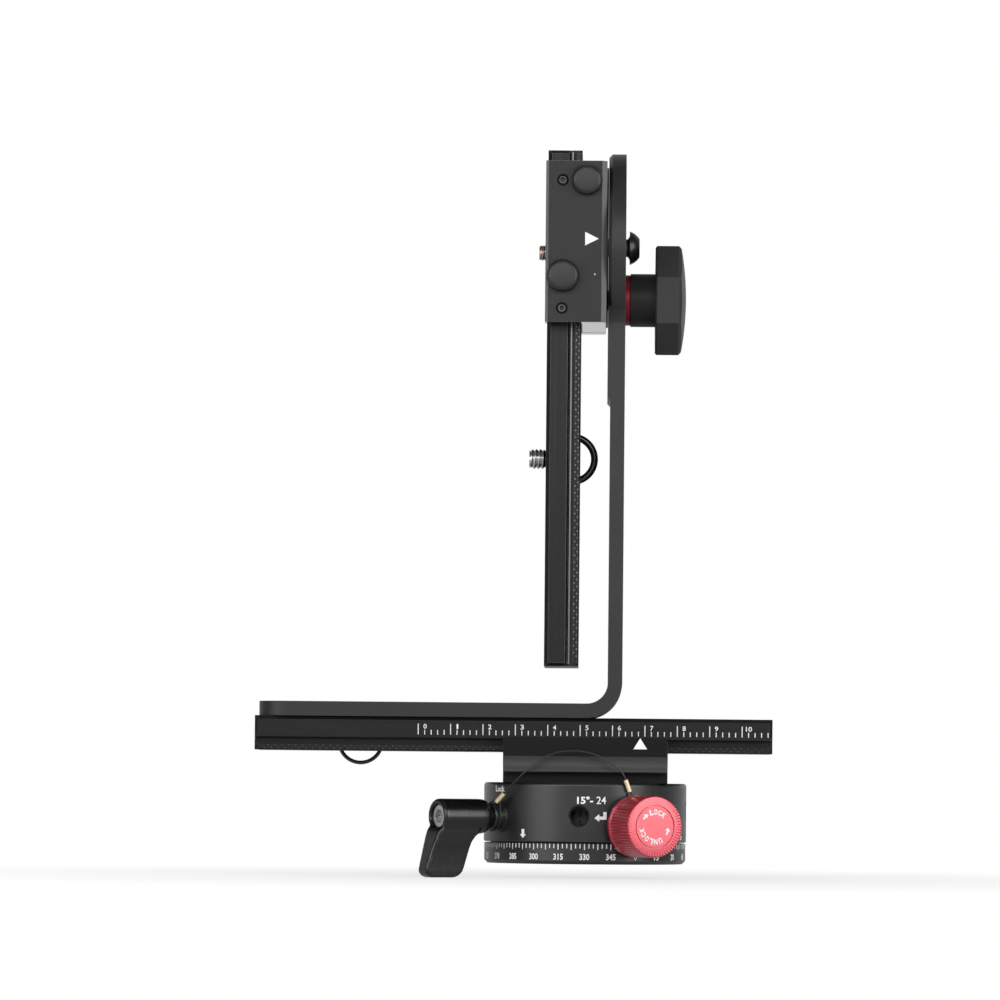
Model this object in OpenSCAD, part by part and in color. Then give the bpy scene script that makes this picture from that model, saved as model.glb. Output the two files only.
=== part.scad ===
// Multi-row panoramic tripod head: an indexing rotator, a graduated nodal rail in a clamp,
// an L bracket, a tilting upper clamp and a vertical camera rail.
// Frame: origin at the centre of the tripod face, +Z up, +X to the bracket's leg,
// and the graduated fronts face -Y. Angles round the rotator run from -Y towards +X.

/* [Rotator] */
// Outer diameter of the rotating housing
housing_d = 63; // [56:1:90]
// Height of the rotator from tripod face to clamp seat
rotator_h = 25; // [24:0.5:36]
// How far the graduated base ring stands back from the housing
ring_step = 0.2; // [0.1:0.1:1]
// Height of the graduated base ring
ring_h = 6.4; // [5.6:0.1:8]
// Open seam between base ring and housing
seam = 0.3; // [0.1:0.1:0.8]
// Edge break at the foot of the ring and the top of the housing
rim_chamfer = 1; // [0.3:0.1:2]
// Diameter of the index drum inside the housing
drum_d = 46; // [40:1:48]
// Radial gap between drum and housing
drum_gap = 1.3; // [0.8:0.1:2]
// Thickness of the housing's top plate
top_plate_t = 4.5; // [4:0.1:6]
// Diameter of the tripod thread
tripod_thread_d = 9.525; // [6.35, 9.525]
// Depth of the tripod thread
tripod_thread_depth = 9.5; // [7:0.5:10]

/* [Index holes] */
// Number of index stations round the housing
stations = 10; // [3:1:10]
// Angle between two stations
station_step = 30; // [24:1:30]
// Angle of the first station
first_station = -3.2; // [-10:0.1:10]
// Height of the lowest row of detents
lowest_row_z = 10.8; // [10:0.1:12]
// Spacing of the rows of detents
row_pitch = 1; // [0.9:0.05:1]
// Diameter of one detent
detent_d = 0.9; // [0.7:0.05:0.9]
// Depth of one detent
detent_depth = 1; // [0.8:0.1:2]
// Diameter of an index hole in the housing
index_hole_d = 5.5; // [5:0.1:6]
// Diameter of the countersink round an index hole
index_rim_d = 7; // [6.4:0.1:8]

/* [Index plunger] */
// Station that the plunger sits in
plunger_station = 1; // [0:1:9]
// Diameter of the plunger knob
plunger_knob_d = 19; // [16:0.5:22]
// Length of the plunger knob
plunger_knob_len = 14.2; // [11:0.2:18]
// Gap from the housing's rim to the knob
plunger_gap = 1.9; // [1.8:0.1:4]
// Number of knurls on the plunger knob
plunger_knurls = 60; // [30:2:72]
// Travel of the index pin
pin_travel = 0.9; // [0.5:0.1:0.9]

/* [Lock lever] */
// Angle of the lock lever on the housing
lever_angle = -57; // [-66:1:-48]
// Height of the lever's axis
lever_z = 14.4; // [13:0.1:15]
// Gap between the housing and the lever's hub
lever_gap = 4.8; // [4.4:0.1:12]
// Length of the lever's hub
lever_hub_len = 17.3; // [16:0.1:22]
// Diameter of the lever's hub
lever_hub_d = 10.8; // [10:0.1:13]
// How far the paddle hangs below the lever's axis
lever_drop = 18.6; // [16:0.1:26]
// Thickness of the paddle at the hub
paddle_t = 5.9; // [4.5:0.1:8]
// Thickness of the paddle at its foot
paddle_foot_t = 4.3; // [3:0.1:6]

/* [Rails] */
// Length of each dovetail rail
rail_len = 160; // [150:1:200]
// Width of each rail across the dovetail lips
rail_w = 38; // [36:0.5:44]
// Thickness of each rail
rail_t = 10.6; // [10:0.1:14]
// Height of the dovetail lip
lip_h = 1.7; // [1.4:0.1:2.2]
// Depth of the dovetail groove
groove_d = 1.9; // [1.6:0.1:2.2]
// Chamfer along the rail's outer edges
rail_chamfer = 1.2; // [0.4:0.1:2]
// Left end of the lower rail, from the rotator's axis
lower_rail_left = 102.3; // [90:0.1:110]
// Height of the lower rail's lip side
lower_rail_z = 34.4; // [34:0.1:40]
// Lower end of the vertical rail
upper_rail_z = 61; // [60:0.5:80]
// Distance from the rotator's axis back to the vertical rail's lip side
upper_rail_x = 2.5; // [1:0.1:6]
// Width of the screw slots
slot_w = 6.8; // [6.6:0.1:8]

/* [Lower clamp] */
// Length of the lower clamp
lower_clamp_len = 50.7; // [46:0.1:56]
// Height of the jaws above the rail's lip side
jaw_h = 4.7; // [4.6:0.1:6]
// Distance from the rail's side to the outside of a jaw
jaw_t = 7; // [5:0.1:10]
// Diameter of the lower clamp's knob
lower_knob_d = 17; // [12:0.5:18]
// Opening travel of both movable jaws
jaw_travel = 2; // [1:0.5:2]

/* [L bracket] */
// Thickness of the bracket's plate
plate_t = 4.5; // [4:0.1:6]
// Width of the bracket's arms
arm_w = 38; // [34:1:44]
// Left end of the horizontal arm, from the rotator's axis
arm_left = 101.4; // [90:0.1:110]
// Outer face of the upright leg
leg_x = 11.2; // [10:0.1:16]
// Inner radius of the bend
bend_r = 6.5; // [6:0.5:12]
// Height of the tilt pivot
pivot_z = 192.3; // [185:0.5:230]
// Radius of the round head
head_r = 29.3; // [27:0.1:34]
// How far the head's pad stands in from the leg
pad_t = 0.9; // [0.5:0.1:1.5]
// Height at which the pad starts
pad_z = 143.6; // [130:0.2:155]
// Radius of the arc slot
arc_r = 16.4; // [16:0.1:18]
// Width of the arc slot
arc_w = 6.6; // [6.4:0.1:7.4]

/* [Upper clamp] */
// Length of the upper clamp
upper_clamp_len = 50; // [48:0.5:56]
// Height of the upper clamp's lower end
upper_clamp_z = 167; // [163:0.5:172]
// Distance from the rail's side to the clamp's front face
upper_wall_t = 7.7; // [7.2:0.1:9]
// Diameter of the upper round button
upper_button_d = 9.4; // [8:0.1:10]
// Diameter of the lower round button
lower_button_d = 10; // [8:0.1:10]
// How far the buttons stand proud
button_proud = 3.6; // [3:0.1:5]
// Travel of the buttons
button_travel = 2; // [1:0.5:2]
// Diameter of the slim thumb screw on the upper clamp
thumb_screw_d = 8.6; // [7.6:0.1:8.6]

/* [Tilt lock] */
// Width across the flats of the octagonal tilt knob
tilt_knob_af = 34; // [28:0.5:40]
// Thickness of the octagon
tilt_knob_t = 8; // [6:0.5:12]
// Diameter of the tilt knob's neck
tilt_neck_d = 16.6; // [14:0.1:18]
// Length of the tilt knob's neck
tilt_neck_len = 7.8; // [6:0.1:12]
// Height of the dome on the knob's face
tilt_dome = 1.6; // [0.5:0.1:3]
// Diameter of the red washer
tilt_washer_d = 15.8; // [13:0.1:17]
// Diameter of the pivot screw's shank
pivot_d = 5.6; // [5:0.1:6]

/* [Screws and rings] */
// Diameter of the camera and bracket screw threads
camera_thread_d = 6.35; // [6:0.05:6.35]
// Outer radius of the bracket screw's folding ring
bracket_ring_r = 7.3; // [7:0.1:8]
// Wire of the bracket screw's folding ring
bracket_wire_d = 1.2; // [0.9:0.1:1.6]
// Outer radius of the camera screw's folding ring
camera_ring_r = 8.06; // [7.6:0.02:8.2]
// Wire of the camera screw's folding ring
camera_wire_d = 2.2; // [1.4:0.1:2.4]
// Position of the bracket screw, left of the rotator's axis
bracket_screw_left = 70.2; // [66:0.1:74]
// Height of the camera screw
camera_screw_z = 126; // [115:0.5:128]
// How far the camera screw stands out of the rail
camera_screw_out = 5.3; // [4.5:0.1:6.5]
// Step from a ring screw's thread down to its captive neck
captive_step = 0.7; // [0.4:0.1:0.9]

/* [Clearances] */
// Running clearance of shafts in their bores
fit = 0.05; // [0.03:0.01:0.08]
// Gap between sliding flat faces
slide_gap = 0.15; // [0.1:0.01:0.2]
// Gap between round pieces that only pass each other
air = 0.3; // [0.3:0.05:0.4]

/* [Hidden] */
$fn = 96;
eps = 0.01;

// Rotator
housing_r = housing_d / 2;
ring_d = housing_d - 2 * ring_step;
housing_z = ring_h + seam;
drum_r = drum_d / 2;
cavity_r = drum_r + drum_gap;
cavity_top = rotator_h - top_plate_t;
drum_top = cavity_top - seam;
bushing_r = 8;
bushing_wall = 2;
small_chamfer = 0.3;
recess_r = 12.5;
recess_depth = 2;
axle_flange_r = recess_r - 1;
axle_thread_r = 5;
axle_washer_t = 0.25;
washer_z = rotator_h - recess_depth + fit;
flange_z = washer_z + axle_washer_t;
socket_wall = 2.8;
socket_r = tripod_thread_d / 2 + socket_wall;
socket_top = tripod_thread_depth + 1;
axle_thread_z = socket_top + 1.5;
bearing_t = 1;
bearing_in = cavity_r + 0.8;
bearing_out = ring_d / 2 - 2;
drum_screw_pcd = 2 * (socket_r + 6.6);
drum_screw_r = 2;
drum_screw_head_r = 4;
drum_screw_len = 12;

// Index rows: steps per turn in the order of the stations, and a height for each
steps_per_turn = [24, 36, 15, 12, 10, 8, 6, 4, 72, 18];
station_rows = [4, 1, 3, 6, 0, 7, 2, 8, 5, 9];
function station_angle(k) = first_station + k * station_step;
function station_z(k) = lowest_row_z + row_pitch * station_rows[k];

// Plunger, measured outwards from the rotator's axis
plunger_angle = station_angle(plunger_station);
plunger_z = station_z(plunger_station);
spot_depth = 0.5;
collar_seat = housing_r - spot_depth;
plunger_collar_r = 4.6;
knob_start = housing_r + plunger_gap;
stem_r = 3.6;
knob_cap_t = 4;
stem_end = knob_start + plunger_knob_len - knob_cap_t;
pin_r = 1.5;
tip_r = detent_d / 2 - fit;
pin_shoulder_r = 2.1;
spring_bore_r = pin_shoulder_r + 0.1;
pin_shoulder_start = collar_seat - 1;
pin_shoulder_t = 0.8;
spring_bore_start = pin_shoulder_start - pin_travel - air;
spring_bore_end = stem_end - 1;
knurl_depth = 0.35;
knurl_step = 0.05;
knob_face_r = plunger_knob_d / 2 - knurl_depth - knurl_step;
face_ring_r = 6.65;

// Lever, measured outwards from the rotator's axis
spindle_r = 3;
insert_r = 4.2;
plug_len = 3;
plug_end = drum_r + plug_len;
lever_screw_r = 3.7;
lever_hub_start = housing_r + lever_gap;
lever_hub_end = lever_hub_start + lever_hub_len;
paddle_slope = 0.37;
paddle_w = 12.6;

// Rails
rail_half = rail_w / 2;
groove_back = 0.5;
lip_chamfer = 0.5;
end_chamfer = 1;
lower_rail_right = rail_len - lower_rail_left;
rail_top_z = lower_rail_z + rail_t;
upper_rail_top = upper_rail_z + rail_len;
ring_pivot_in = 3;
camera_pivot_in = 2.5;
ring_head_t = 3.4;
screw_r = camera_thread_d / 2;
screw_neck_r = screw_r - captive_step;
neck_proud = 0.25;
lower_slot_from = bracket_screw_left + 16;
lower_slot_reach = 32;
upper_slot_reach = 50;
lower_slot_to = bracket_screw_left - lower_slot_reach;
upper_slot_from = camera_screw_z - upper_slot_reach;
upper_slot_to = camera_screw_z + 12;
camera_washer_t = 0.8;

// Clamps: in a clamp's own frame x crosses the rail, y goes from lip side to camera
// or bracket side, and z runs along the rail
fixed_end = rail_half - 2.5;
jaw_start = rail_half - 1.5;
lower_base_t = lower_rail_z - rotator_h;
clamp_len_chamfer = 0.6;
lower_screw_y = -4;
lower_screw_r = 2.5;
lower_pin_r = 2;
lower_spring_pocket_r = 3;
pin_spread = 0.34;
spring_pocket_depth = 6.5;
jaw_pocket_depth = 1.4;
neck_len = 7;
knob_len = 12.5;
clamp_screw_thread = 14;
base_screw_r = 2;
base_screw_head_r = 3.5;
base_screw_head_t = 3.5;
base_screw_x = [-12, 2];
base_screw_z = 16;

// Upper clamp and bracket
upper_back_x = leg_x - plate_t - pad_t;
washer_t = 0.5;
block_x = upper_back_x - slide_gap / 3 - washer_t;
upper_base_t = block_x + upper_rail_x;
upper_wall_over = 0.6;
upper_clamp_top = upper_clamp_z + upper_clamp_len;
upper_screw_y = -3.6;
upper_screw_r = 2;
upper_pin_r = 1.5;
upper_spring_pocket_r = 2.5;
block_thread = 5.7;
bend_out = bend_r + plate_t;
tilt_knob_z = pivot_z - arc_r;
stud_r = 3;
pivot_r = pivot_d / 2;
pivot_wall = 0.8;
pivot_head_d = 10.5;
pivot_head_t = 3.1;
pivot_head_flat = 5.8;
pivot_head_gap = 1.2;
friction_r = 25;
tilt_washer_t = 1.5;
washer_x = leg_x + slide_gap / 3;
neck_x = washer_x + tilt_washer_t;
octagon_x = neck_x + tilt_neck_len;
insert_wall = 2.4;
front_y = -(rail_half + upper_wall_t);
upper_button_pos = [-1, 211];
lower_button_pos = [-8.3, 181.3];
button_pocket = 6.2;
button_len = 3.7;
button_stem_r = 1.6;
wall_screw_pos = [[-8.5, 211], [-8.5, 171.3]];
wall_screw_r = 1.5;
wall_screw_len = 4.6;
stop_screw_r = 2.4;
stop_screw_z = 188.6;
stop_screw_in = 3;
stop_screw_out = 2.4;

// Tether: a springy wire between the lever and the plunger
tether_r = 0.25;
ferrule_w = 1.4;
ferrule_len = 3.9;
tether_lever_loop_at = housing_r + 2.5;
tether_plunger_loop_at = housing_r + 0.8;
left_ferrule = [-26.1, -23.4, 20.2];
right_ferrule = [13.1, -29.8, 24.2];
tether_route = [[-26.1, -23.4, 20.2], [-23.8, -25.2, 22.8], [-21.5, -26.8, 25.3],
                [-18.4, -28.6, 28.3], [-13.6, -30.2, 32.1], [-9.3, -31, 34.1],
                [-4.1, -31.5, 34.8], [0, -31.7, 34.5], [4.5, -31.7, 33.1],
                [9.8, -31, 29.8], [12, -30.3, 27.2], [13.1, -29.8, 24.2]];

// ---- Helpers ----

// Child's +Z points out of the rotator at an angle, its +Y points up
module at_station(angle, z) {
    translate([0, 0, z]) rotate([0, 0, angle]) rotate([90, 0, 0]) children();
}

// Child's +Z points along +X
module along_x(x, z) {
    translate([x, 0, z]) rotate([0, 90, 0]) children();
}

// Frames of the two rails: x across, y from the lip side, z along
module lower_frame() {
    translate([0, 0, lower_rail_z]) rotate([90, 0, 90]) children();
}

module upper_frame() {
    translate([-upper_rail_x, 0, 0]) rotate([0, 0, 90]) children();
}

// Child's +Z points across a clamp, from its fixed jaw to its movable one
module across() {
    rotate([0, 90, 0]) children();
}

module tube(r_in, r_out, h) {
    difference() {
        cylinder(r = r_out, h = h);
        translate([0, 0, -eps]) cylinder(r = r_in, h = h + 2 * eps);
    }
}

// Cylinder with an edge break at its far end
module pin(r, h, c) {
    cylinder(r = r, h = h - c);
    translate([0, 0, h - c]) cylinder(r1 = r, r2 = r - c, h = c);
}

module hex_socket(af, depth) {
    cylinder(r = af / sqrt(3), h = depth, $fn = 6);
}

// Slot outline along y, from y0 to y1 between its end centres
module slot(y0, y1, w) {
    translate([-w / 2, y0]) square([w, y1 - y0]);
    translate([0, y0]) circle(d = w);
    translate([0, y1]) circle(d = w);
}

// Round bar with straight knurls as a star of two radii
module knurled(r, depth, count, h) {
    linear_extrude(h)
        polygon([for (i = [0 : 2 * count - 1])
            (r - depth * (i % 2)) * [cos(180 * i / count), sin(180 * i / count)]]);
}

// Tube swept along points, turned by a reference direction off the path
function unit(v) = v / norm(v);
function path_dir(p, i) =
    unit(p[min(i + 1, len(p) - 1)] - p[max(i - 1, 0)]);
function ring_at(p, i, r, ref, sides) =
    let (t = path_dir(p, i), n = unit(cross(t, ref)), b = cross(n, t))
    [for (s = [0 : sides - 1])
        p[i] + r * (cos(360 * s / sides) * n + sin(360 * s / sides) * b)];

module swept(p, r, ref, sides) {
    last = len(p) - 1;
    points = [for (i = [0 : last]) each ring_at(p, i, r, ref, sides)];
    walls = [for (i = [0 : last - 1], s = [0 : sides - 1])
        let (a = i * sides + s, b = i * sides + (s + 1) % sides)
        each [[a, b, b + sides], [a, b + sides, a + sides]]];
    first_cap = [[for (s = [0 : sides - 1]) sides - 1 - s]];
    last_cap = [[for (s = [0 : sides - 1]) last * sides + s]];
    polyhedron(points, concat(walls, first_cap, last_cap), convexity = 6);
}

// Open compression spring along +Z
module coil_spring(r, wire_r, turns, h) {
    steps = 14;
    swept([for (i = [0 : turns * steps])
        [r * cos(360 * i / steps), r * sin(360 * i / steps),
         wire_r + (h - 2 * wire_r) * i / (turns * steps)]], wire_r, [0, 0, 1], 6);
}

// Points of a smooth curve through a route
function blend(a, b, c, d, u) =
    0.5 * (2 * b + (c - a) * u + (2 * a - 5 * b + 4 * c - d) * pow(u, 2)
        + (3 * b - a - 3 * c + d) * pow(u, 3));
function smooth(p, n) = concat([for (i = [0 : len(p) - 2], k = [0 : n - 1])
    blend(p[max(i - 1, 0)], p[i], p[i + 1], p[min(i + 2, len(p) - 1)], k / n)],
    [p[len(p) - 1]]);

// ---- Rotator, fixed half ----

module base_ring() {
    r = ring_d / 2;
    color("#1b1b1d")
    difference() {
        rotate_extrude()
            polygon([[0, 0], [r - rim_chamfer, 0], [r, rim_chamfer],
                [r, ring_h - small_chamfer], [r - small_chamfer, ring_h],
                [0, ring_h]]);
        translate([0, 0, -eps]) cylinder(r = socket_r, h = ring_h + 2 * eps);
        translate([0, 0, ring_h - bearing_t]) tube(bearing_in, bearing_out, 2 * bearing_t);
        drum_screw_places() drum_screw(fit);
    }
}

module drum_screw_places() {
    for (a = [45 : 90 : 315])
        rotate([0, 0, a]) translate([drum_screw_pcd / 2, 0, 0]) children();
}

module drum_screw(grow = 0) {
    head_h = drum_screw_head_r - drum_screw_r;
    z = 0.2;
    translate([0, 0, z - (grow > 0 ? z + eps : 0)])
        cylinder(r = drum_screw_head_r, h = grow > 0 ? z + 2 * eps : eps);
    translate([0, 0, z])
        cylinder(r1 = drum_screw_head_r, r2 = drum_screw_r, h = head_h);
    translate([0, 0, z + eps]) cylinder(r = drum_screw_r, h = drum_screw_len);
}

module drum_screws() {
    color("silver")
    drum_screw_places() difference() {
        drum_screw();
        translate([0, 0, -eps]) hex_socket(2.5, 1.6);
    }
}

module tripod_bushing() {
    color("silver")
    difference() {
        cylinder(r = socket_r, h = socket_top);
        translate([0, 0, -eps]) cylinder(d = tripod_thread_d, h = tripod_thread_depth + eps);
    }
}

// Drum with a row of detents for every station
module index_drum() {
    color("#2e2e30")
    difference() {
        translate([0, 0, ring_h]) cylinder(r = drum_r, h = drum_top - ring_h);
        translate([0, 0, -eps]) cylinder(r = socket_r, h = socket_top + eps);
        cylinder(r = axle_thread_r, h = rotator_h);
        drum_screw_places() cylinder(r = drum_screw_r, h = drum_screw_len + 0.2 + eps);
        for (k = [0 : stations - 1]) detent_row(k);
    }
}

// One detent of the plunger's own row lies under the plunger at rest
module detent_row(k) {
    n = steps_per_turn[k];
    for (i = [0 : n - 1])
        at_station(station_angle(k) + i * 360 / n, station_z(k))
            translate([0, 0, drum_r - detent_depth])
            cylinder(d = detent_d, h = detent_depth + 1, $fn = 24);
}

module bearing_ring() {
    color("ivory")
    translate([0, 0, ring_h - bearing_t]) tube(bearing_in, bearing_out, bearing_t + seam);
}

// Shoulder bolt that holds the housing down on its bearing
module pan_axle() {
    shoulder_h = flange_z - drum_top;
    color("silver")
    difference() {
        union() {
            translate([0, 0, axle_thread_z])
                cylinder(r = axle_thread_r, h = drum_top - axle_thread_z + eps);
            translate([0, 0, drum_top]) cylinder(r = bushing_r - fit, h = shoulder_h + eps);
            translate([0, 0, flange_z])
                pin(axle_flange_r, rotator_h - flange_z - slide_gap, 0.3);
        }
        translate([0, 0, rotator_h - 3]) hex_socket(8, 4);
    }
}

module axle_washer() {
    color("gold")
    translate([0, 0, washer_z]) tube(bushing_r + air, recess_r - air, axle_washer_t);
}

// ---- Rotator, turning half ----

module housing() {
    r = housing_r;
    c = rim_chamfer;
    color("#161618")
    difference() {
        rotate_extrude()
            union() {
                polygon([[0, housing_z], [r - small_chamfer, housing_z],
                    [r, housing_z + small_chamfer], [r, rotator_h - c],
                    [r - c, rotator_h - c], [r - c, rotator_h], [0, rotator_h]]);
                translate([r - c, rotator_h - c])
                    intersection() {
                        circle(r = c);
                        square(c);
                    }
            }
        translate([0, 0, housing_z - eps])
            cylinder(r = cavity_r, h = cavity_top - housing_z + eps);
        cylinder(r = bushing_r + bushing_wall, h = rotator_h);
        translate([0, 0, rotator_h - recess_depth])
            cylinder(r = recess_r, h = recess_depth + eps);
        for (k = [0 : stations - 1]) index_hole(k);
        at_station(plunger_angle, plunger_z) translate([0, 0, collar_seat])
            cylinder(r = plunger_collar_r, h = 5);
        at_station(lever_angle, lever_z) {
            cylinder(r = insert_r, h = housing_d);
            translate([0, 0, collar_seat]) cylinder(r = insert_r + 0.6, h = 5);
        }
        base_screw_places() translate([0, 0, -top_plate_t])
            cylinder(r = base_screw_r, h = 2 * top_plate_t);
    }
}

module index_hole(k) {
    rim = (index_rim_d - index_hole_d) / 2;
    at_station(station_angle(k), station_z(k)) {
        cylinder(d = index_hole_d, h = housing_d);
        translate([0, 0, housing_r - rim])
            cylinder(d1 = index_hole_d, d2 = index_rim_d + 2, h = rim + 1);
    }
}

// Places of the screws that hold the lower clamp, on the rotator's top face
module base_screw_places() {
    for (y = base_screw_x, x = [-base_screw_z, base_screw_z])
        translate([x, y, rotator_h]) children();
}

module centre_bushing() {
    color("goldenrod")
    translate([0, 0, cavity_top]) tube(bushing_r, bushing_r + bushing_wall,
        rotator_h - recess_depth - cavity_top);
}

// Threaded insert of the lock lever, with the collar that the tether loops round
module lever_bushing() {
    start = cavity_r + 0.2;
    color("silver")
    at_station(lever_angle, lever_z) difference() {
        union() {
            translate([0, 0, start]) cylinder(r = insert_r, h = housing_r - start);
            translate([0, 0, collar_seat]) pin(insert_r, lever_hub_start - collar_seat - 1, 0.4);
            translate([0, 0, collar_seat]) cylinder(r = insert_r + 0.6, h = spot_depth + 0.4);
        }
        cylinder(r = spindle_r + fit, h = lever_hub_start);
    }
}

module brake_plug() {
    start = drum_r + air;
    color("goldenrod")
    at_station(lever_angle, lever_z) difference() {
        translate([0, 0, drum_r - 2]) cylinder(r = spindle_r, h = plug_end - drum_r + 2);
        rotate([-90, 0, 0]) translate([0, 0, -10]) cylinder(r = start, h = 20);
    }
}

module lever_spindle() {
    color("silver")
    at_station(lever_angle, lever_z) translate([0, 0, plug_end + air])
        cylinder(r = spindle_r, h = lever_hub_end - 6 - plug_end);
}

// Hub across the housing with a paddle that slopes outwards to its foot
module lock_lever() {
    r = lever_hub_d / 2;
    taper = 2;
    color("#1a1a1c")
    at_station(lever_angle, lever_z) difference() {
        union() {
            translate([0, 0, lever_hub_start])
                cylinder(r1 = r - 1.2, r2 = r, h = taper);
            translate([0, 0, lever_hub_start + taper])
                pin(r, lever_hub_len - taper, 0.6);
            paddle();
        }
        translate([0, 0, lever_hub_start - 1])
            cylinder(r = spindle_r, h = lever_hub_len);
        translate([0, 0, lever_hub_end - 2.2])
            cylinder(r = lever_screw_r, h = 3);
        translate([0, 0, lever_hub_end - 8])
            cylinder(r = 2, h = 8);
    }
}

// Side outline of the paddle cut to its taper
module paddle() {
    top = lever_hub_end - paddle_w - 0.4;
    foot = top + paddle_slope * lever_drop;
    c = 1.8;
    intersection() {
        rotate([0, -90, 0]) linear_extrude(2 * paddle_t, center = true)
            polygon([[top - 1.5, 0], [top + 0.6, -5.4],
                [foot - 0.4, c - lever_drop], [foot + 1, -lever_drop],
                [foot + paddle_w - c, -lever_drop], [foot + paddle_w, c - lever_drop],
                [top + paddle_w + 0.6, -4], [top + paddle_w, 0]]);
        translate([0, 0, lever_hub_start]) linear_extrude(3 * paddle_w)
            polygon([[-paddle_t / 2, 0.1], [-paddle_foot_t / 2, -lever_drop],
                [paddle_foot_t / 2, -lever_drop], [paddle_t / 2, 0.1]]);
    }
}

module lever_screw() {
    color("silver")
    at_station(lever_angle, lever_z) difference() {
        union() {
            translate([0, 0, lever_hub_end - 2.2]) pin(lever_screw_r, 2, 0.3);
            translate([0, 0, lever_hub_end - 5.6]) cylinder(r = 2, h = 3.5);
        }
        translate([0, 0, lever_hub_end - 2]) hex_socket(4, 3);
    }
}

// ---- Index plunger ----

module plunger_barrel() {
    start = cavity_r + 0.3;
    color("#26262a")
    at_station(plunger_angle, plunger_z) difference() {
        union() {
            translate([0, 0, start])
                cylinder(d = index_hole_d, h = collar_seat - start + eps);
            translate([0, 0, collar_seat])
                cylinder(r = plunger_collar_r, h = knob_start - slide_gap - collar_seat);
            translate([0, 0, knob_start - slide_gap - eps])
                pin(stem_r, stem_end - knob_start, 0.4);
        }
        cylinder(r = pin_r + fit, h = housing_d);
        translate([0, 0, spring_bore_start])
            cylinder(r = spring_bore_r, h = spring_bore_end - spring_bore_start);
    }
}

module plunger_spring() {
    start = pin_shoulder_start + pin_shoulder_t + fit;
    color("silver")
    at_station(plunger_angle, plunger_z) translate([0, 0, start])
        coil_spring(1.82, 0.2, 7, spring_bore_end - fit - start);
}

module index_pin() {
    tip_start = drum_r + 0.2;
    tip_len = 1.2;
    color("silver")
    at_station(plunger_angle, plunger_z) {
        translate([0, 0, tip_start]) cylinder(r = tip_r, h = tip_len + eps);
        translate([0, 0, tip_start + tip_len])
            cylinder(r = pin_r, h = stem_end - tip_start - tip_len + 0.4);
        translate([0, 0, pin_shoulder_start])
            cylinder(r = pin_shoulder_r, h = pin_shoulder_t);
    }
}

// Straight-knurled cap with a plain chamfered flange at the back
module plunger_knob() {
    r = plunger_knob_d / 2;
    flange = 2.2;
    lead = 0.9;
    rim = 1.2;
    color("#c8243c")
    at_station(plunger_angle, plunger_z) translate([0, 0, knob_start])
        difference() {
            union() {
                cylinder(r1 = r - 1, r2 = r, h = lead);
                translate([0, 0, lead]) cylinder(r = r, h = flange - lead);
                translate([0, 0, flange])
                    knurled(r - knurl_step, knurl_depth - knurl_step, plunger_knurls,
                        plunger_knob_len - flange - rim);
                translate([0, 0, plunger_knob_len - rim])
                    pin(knob_face_r, rim, 0.7);
            }
            translate([0, 0, -eps]) cylinder(r = stem_r + fit, h = plunger_knob_len - 2.6);
            translate([0, 0, plunger_knob_len - 0.4]) tube(face_ring_r - 0.3, face_ring_r, 1);
        }
}

// ---- Tether ----

// Teardrop loop round a collar, in the plane across a station's direction
function loop_points(r, apex_r, apex_a) =
    let (half = acos(r / apex_r))
    concat([apex_r * [cos(apex_a), sin(apex_a), 0]],
        [for (a = [apex_a + half : (360 - 2 * half) / 15 : apex_a + 360 - half + eps])
            r * [cos(a), sin(a), 0]],
        [apex_r * [cos(apex_a), sin(apex_a), 0] + [0, 0, 2 * tether_r + 0.02]]);

module tether_cable() {
    color("#3a3a3c") {
        swept(smooth(tether_route, 4), tether_r, [0, 1, 0], 8);
        at_station(lever_angle, lever_z) translate([0, 0, tether_lever_loop_at])
            swept(loop_points(insert_r + 0.1 + tether_r, 7.8, 48), tether_r, [0, 0, 1], 8);
        at_station(plunger_angle, plunger_z) translate([0, 0, tether_plunger_loop_at])
            swept(loop_points(plunger_collar_r + 0.1 + tether_r, 10.6, 95), tether_r,
                [0, 0, 1], 8);
    }
}

// Crimped sleeves in line with the wire they close
module tether_ferrules() {
    left_dir = tether_route[1] - tether_route[0];
    right_dir = tether_route[len(tether_route) - 1] - tether_route[len(tether_route) - 2];
    color("#d9c79a") {
        ferrule(left_ferrule, left_dir);
        ferrule(right_ferrule, right_dir);
    }
}

module ferrule(place, dir) {
    tilt = acos(dir[2] / norm(dir));
    turn = atan2(dir[1], dir[0]);
    translate(place) rotate([0, tilt, turn]) translate([0, 0, -ferrule_len / 2]) {
        tube(tether_r, ferrule_w / 2, ferrule_len);
    }
}

// ---- Rails and clamps ----

// Half outlines run from the lip side (y = 0) up to the plain side
function rail_side(s) =
    [[s * (rail_half - lip_chamfer), 0], [s * rail_half, lip_chamfer],
     [s * rail_half, lip_h], [s * (rail_half - groove_d), lip_h + groove_d],
     [s * rail_half, lip_h + groove_d + groove_back],
     [s * rail_half, rail_t - rail_chamfer], [s * (rail_half - rail_chamfer), rail_t]];
function reversed(p) = [for (i = [len(p) - 1 : -1 : 0]) p[i]];

module rail_bar(from, to) {
    c = end_chamfer;
    intersection() {
        translate([0, 0, from]) linear_extrude(to - from)
            polygon(concat(rail_side(1), reversed(rail_side(-1))));
        translate([0, 2 * rail_t, 0]) rotate([90, 0, 0]) linear_extrude(3 * rail_t)
            polygon([[-rail_half - 1, from + c + 1], [-rail_half + c, from],
                [rail_half - c, from], [rail_half + 1, from + c + 1],
                [rail_half + 1, to - c - 1], [rail_half - c, to],
                [-rail_half + c, to], [-rail_half - 1, to - c - 1]]);
    }
}

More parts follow.
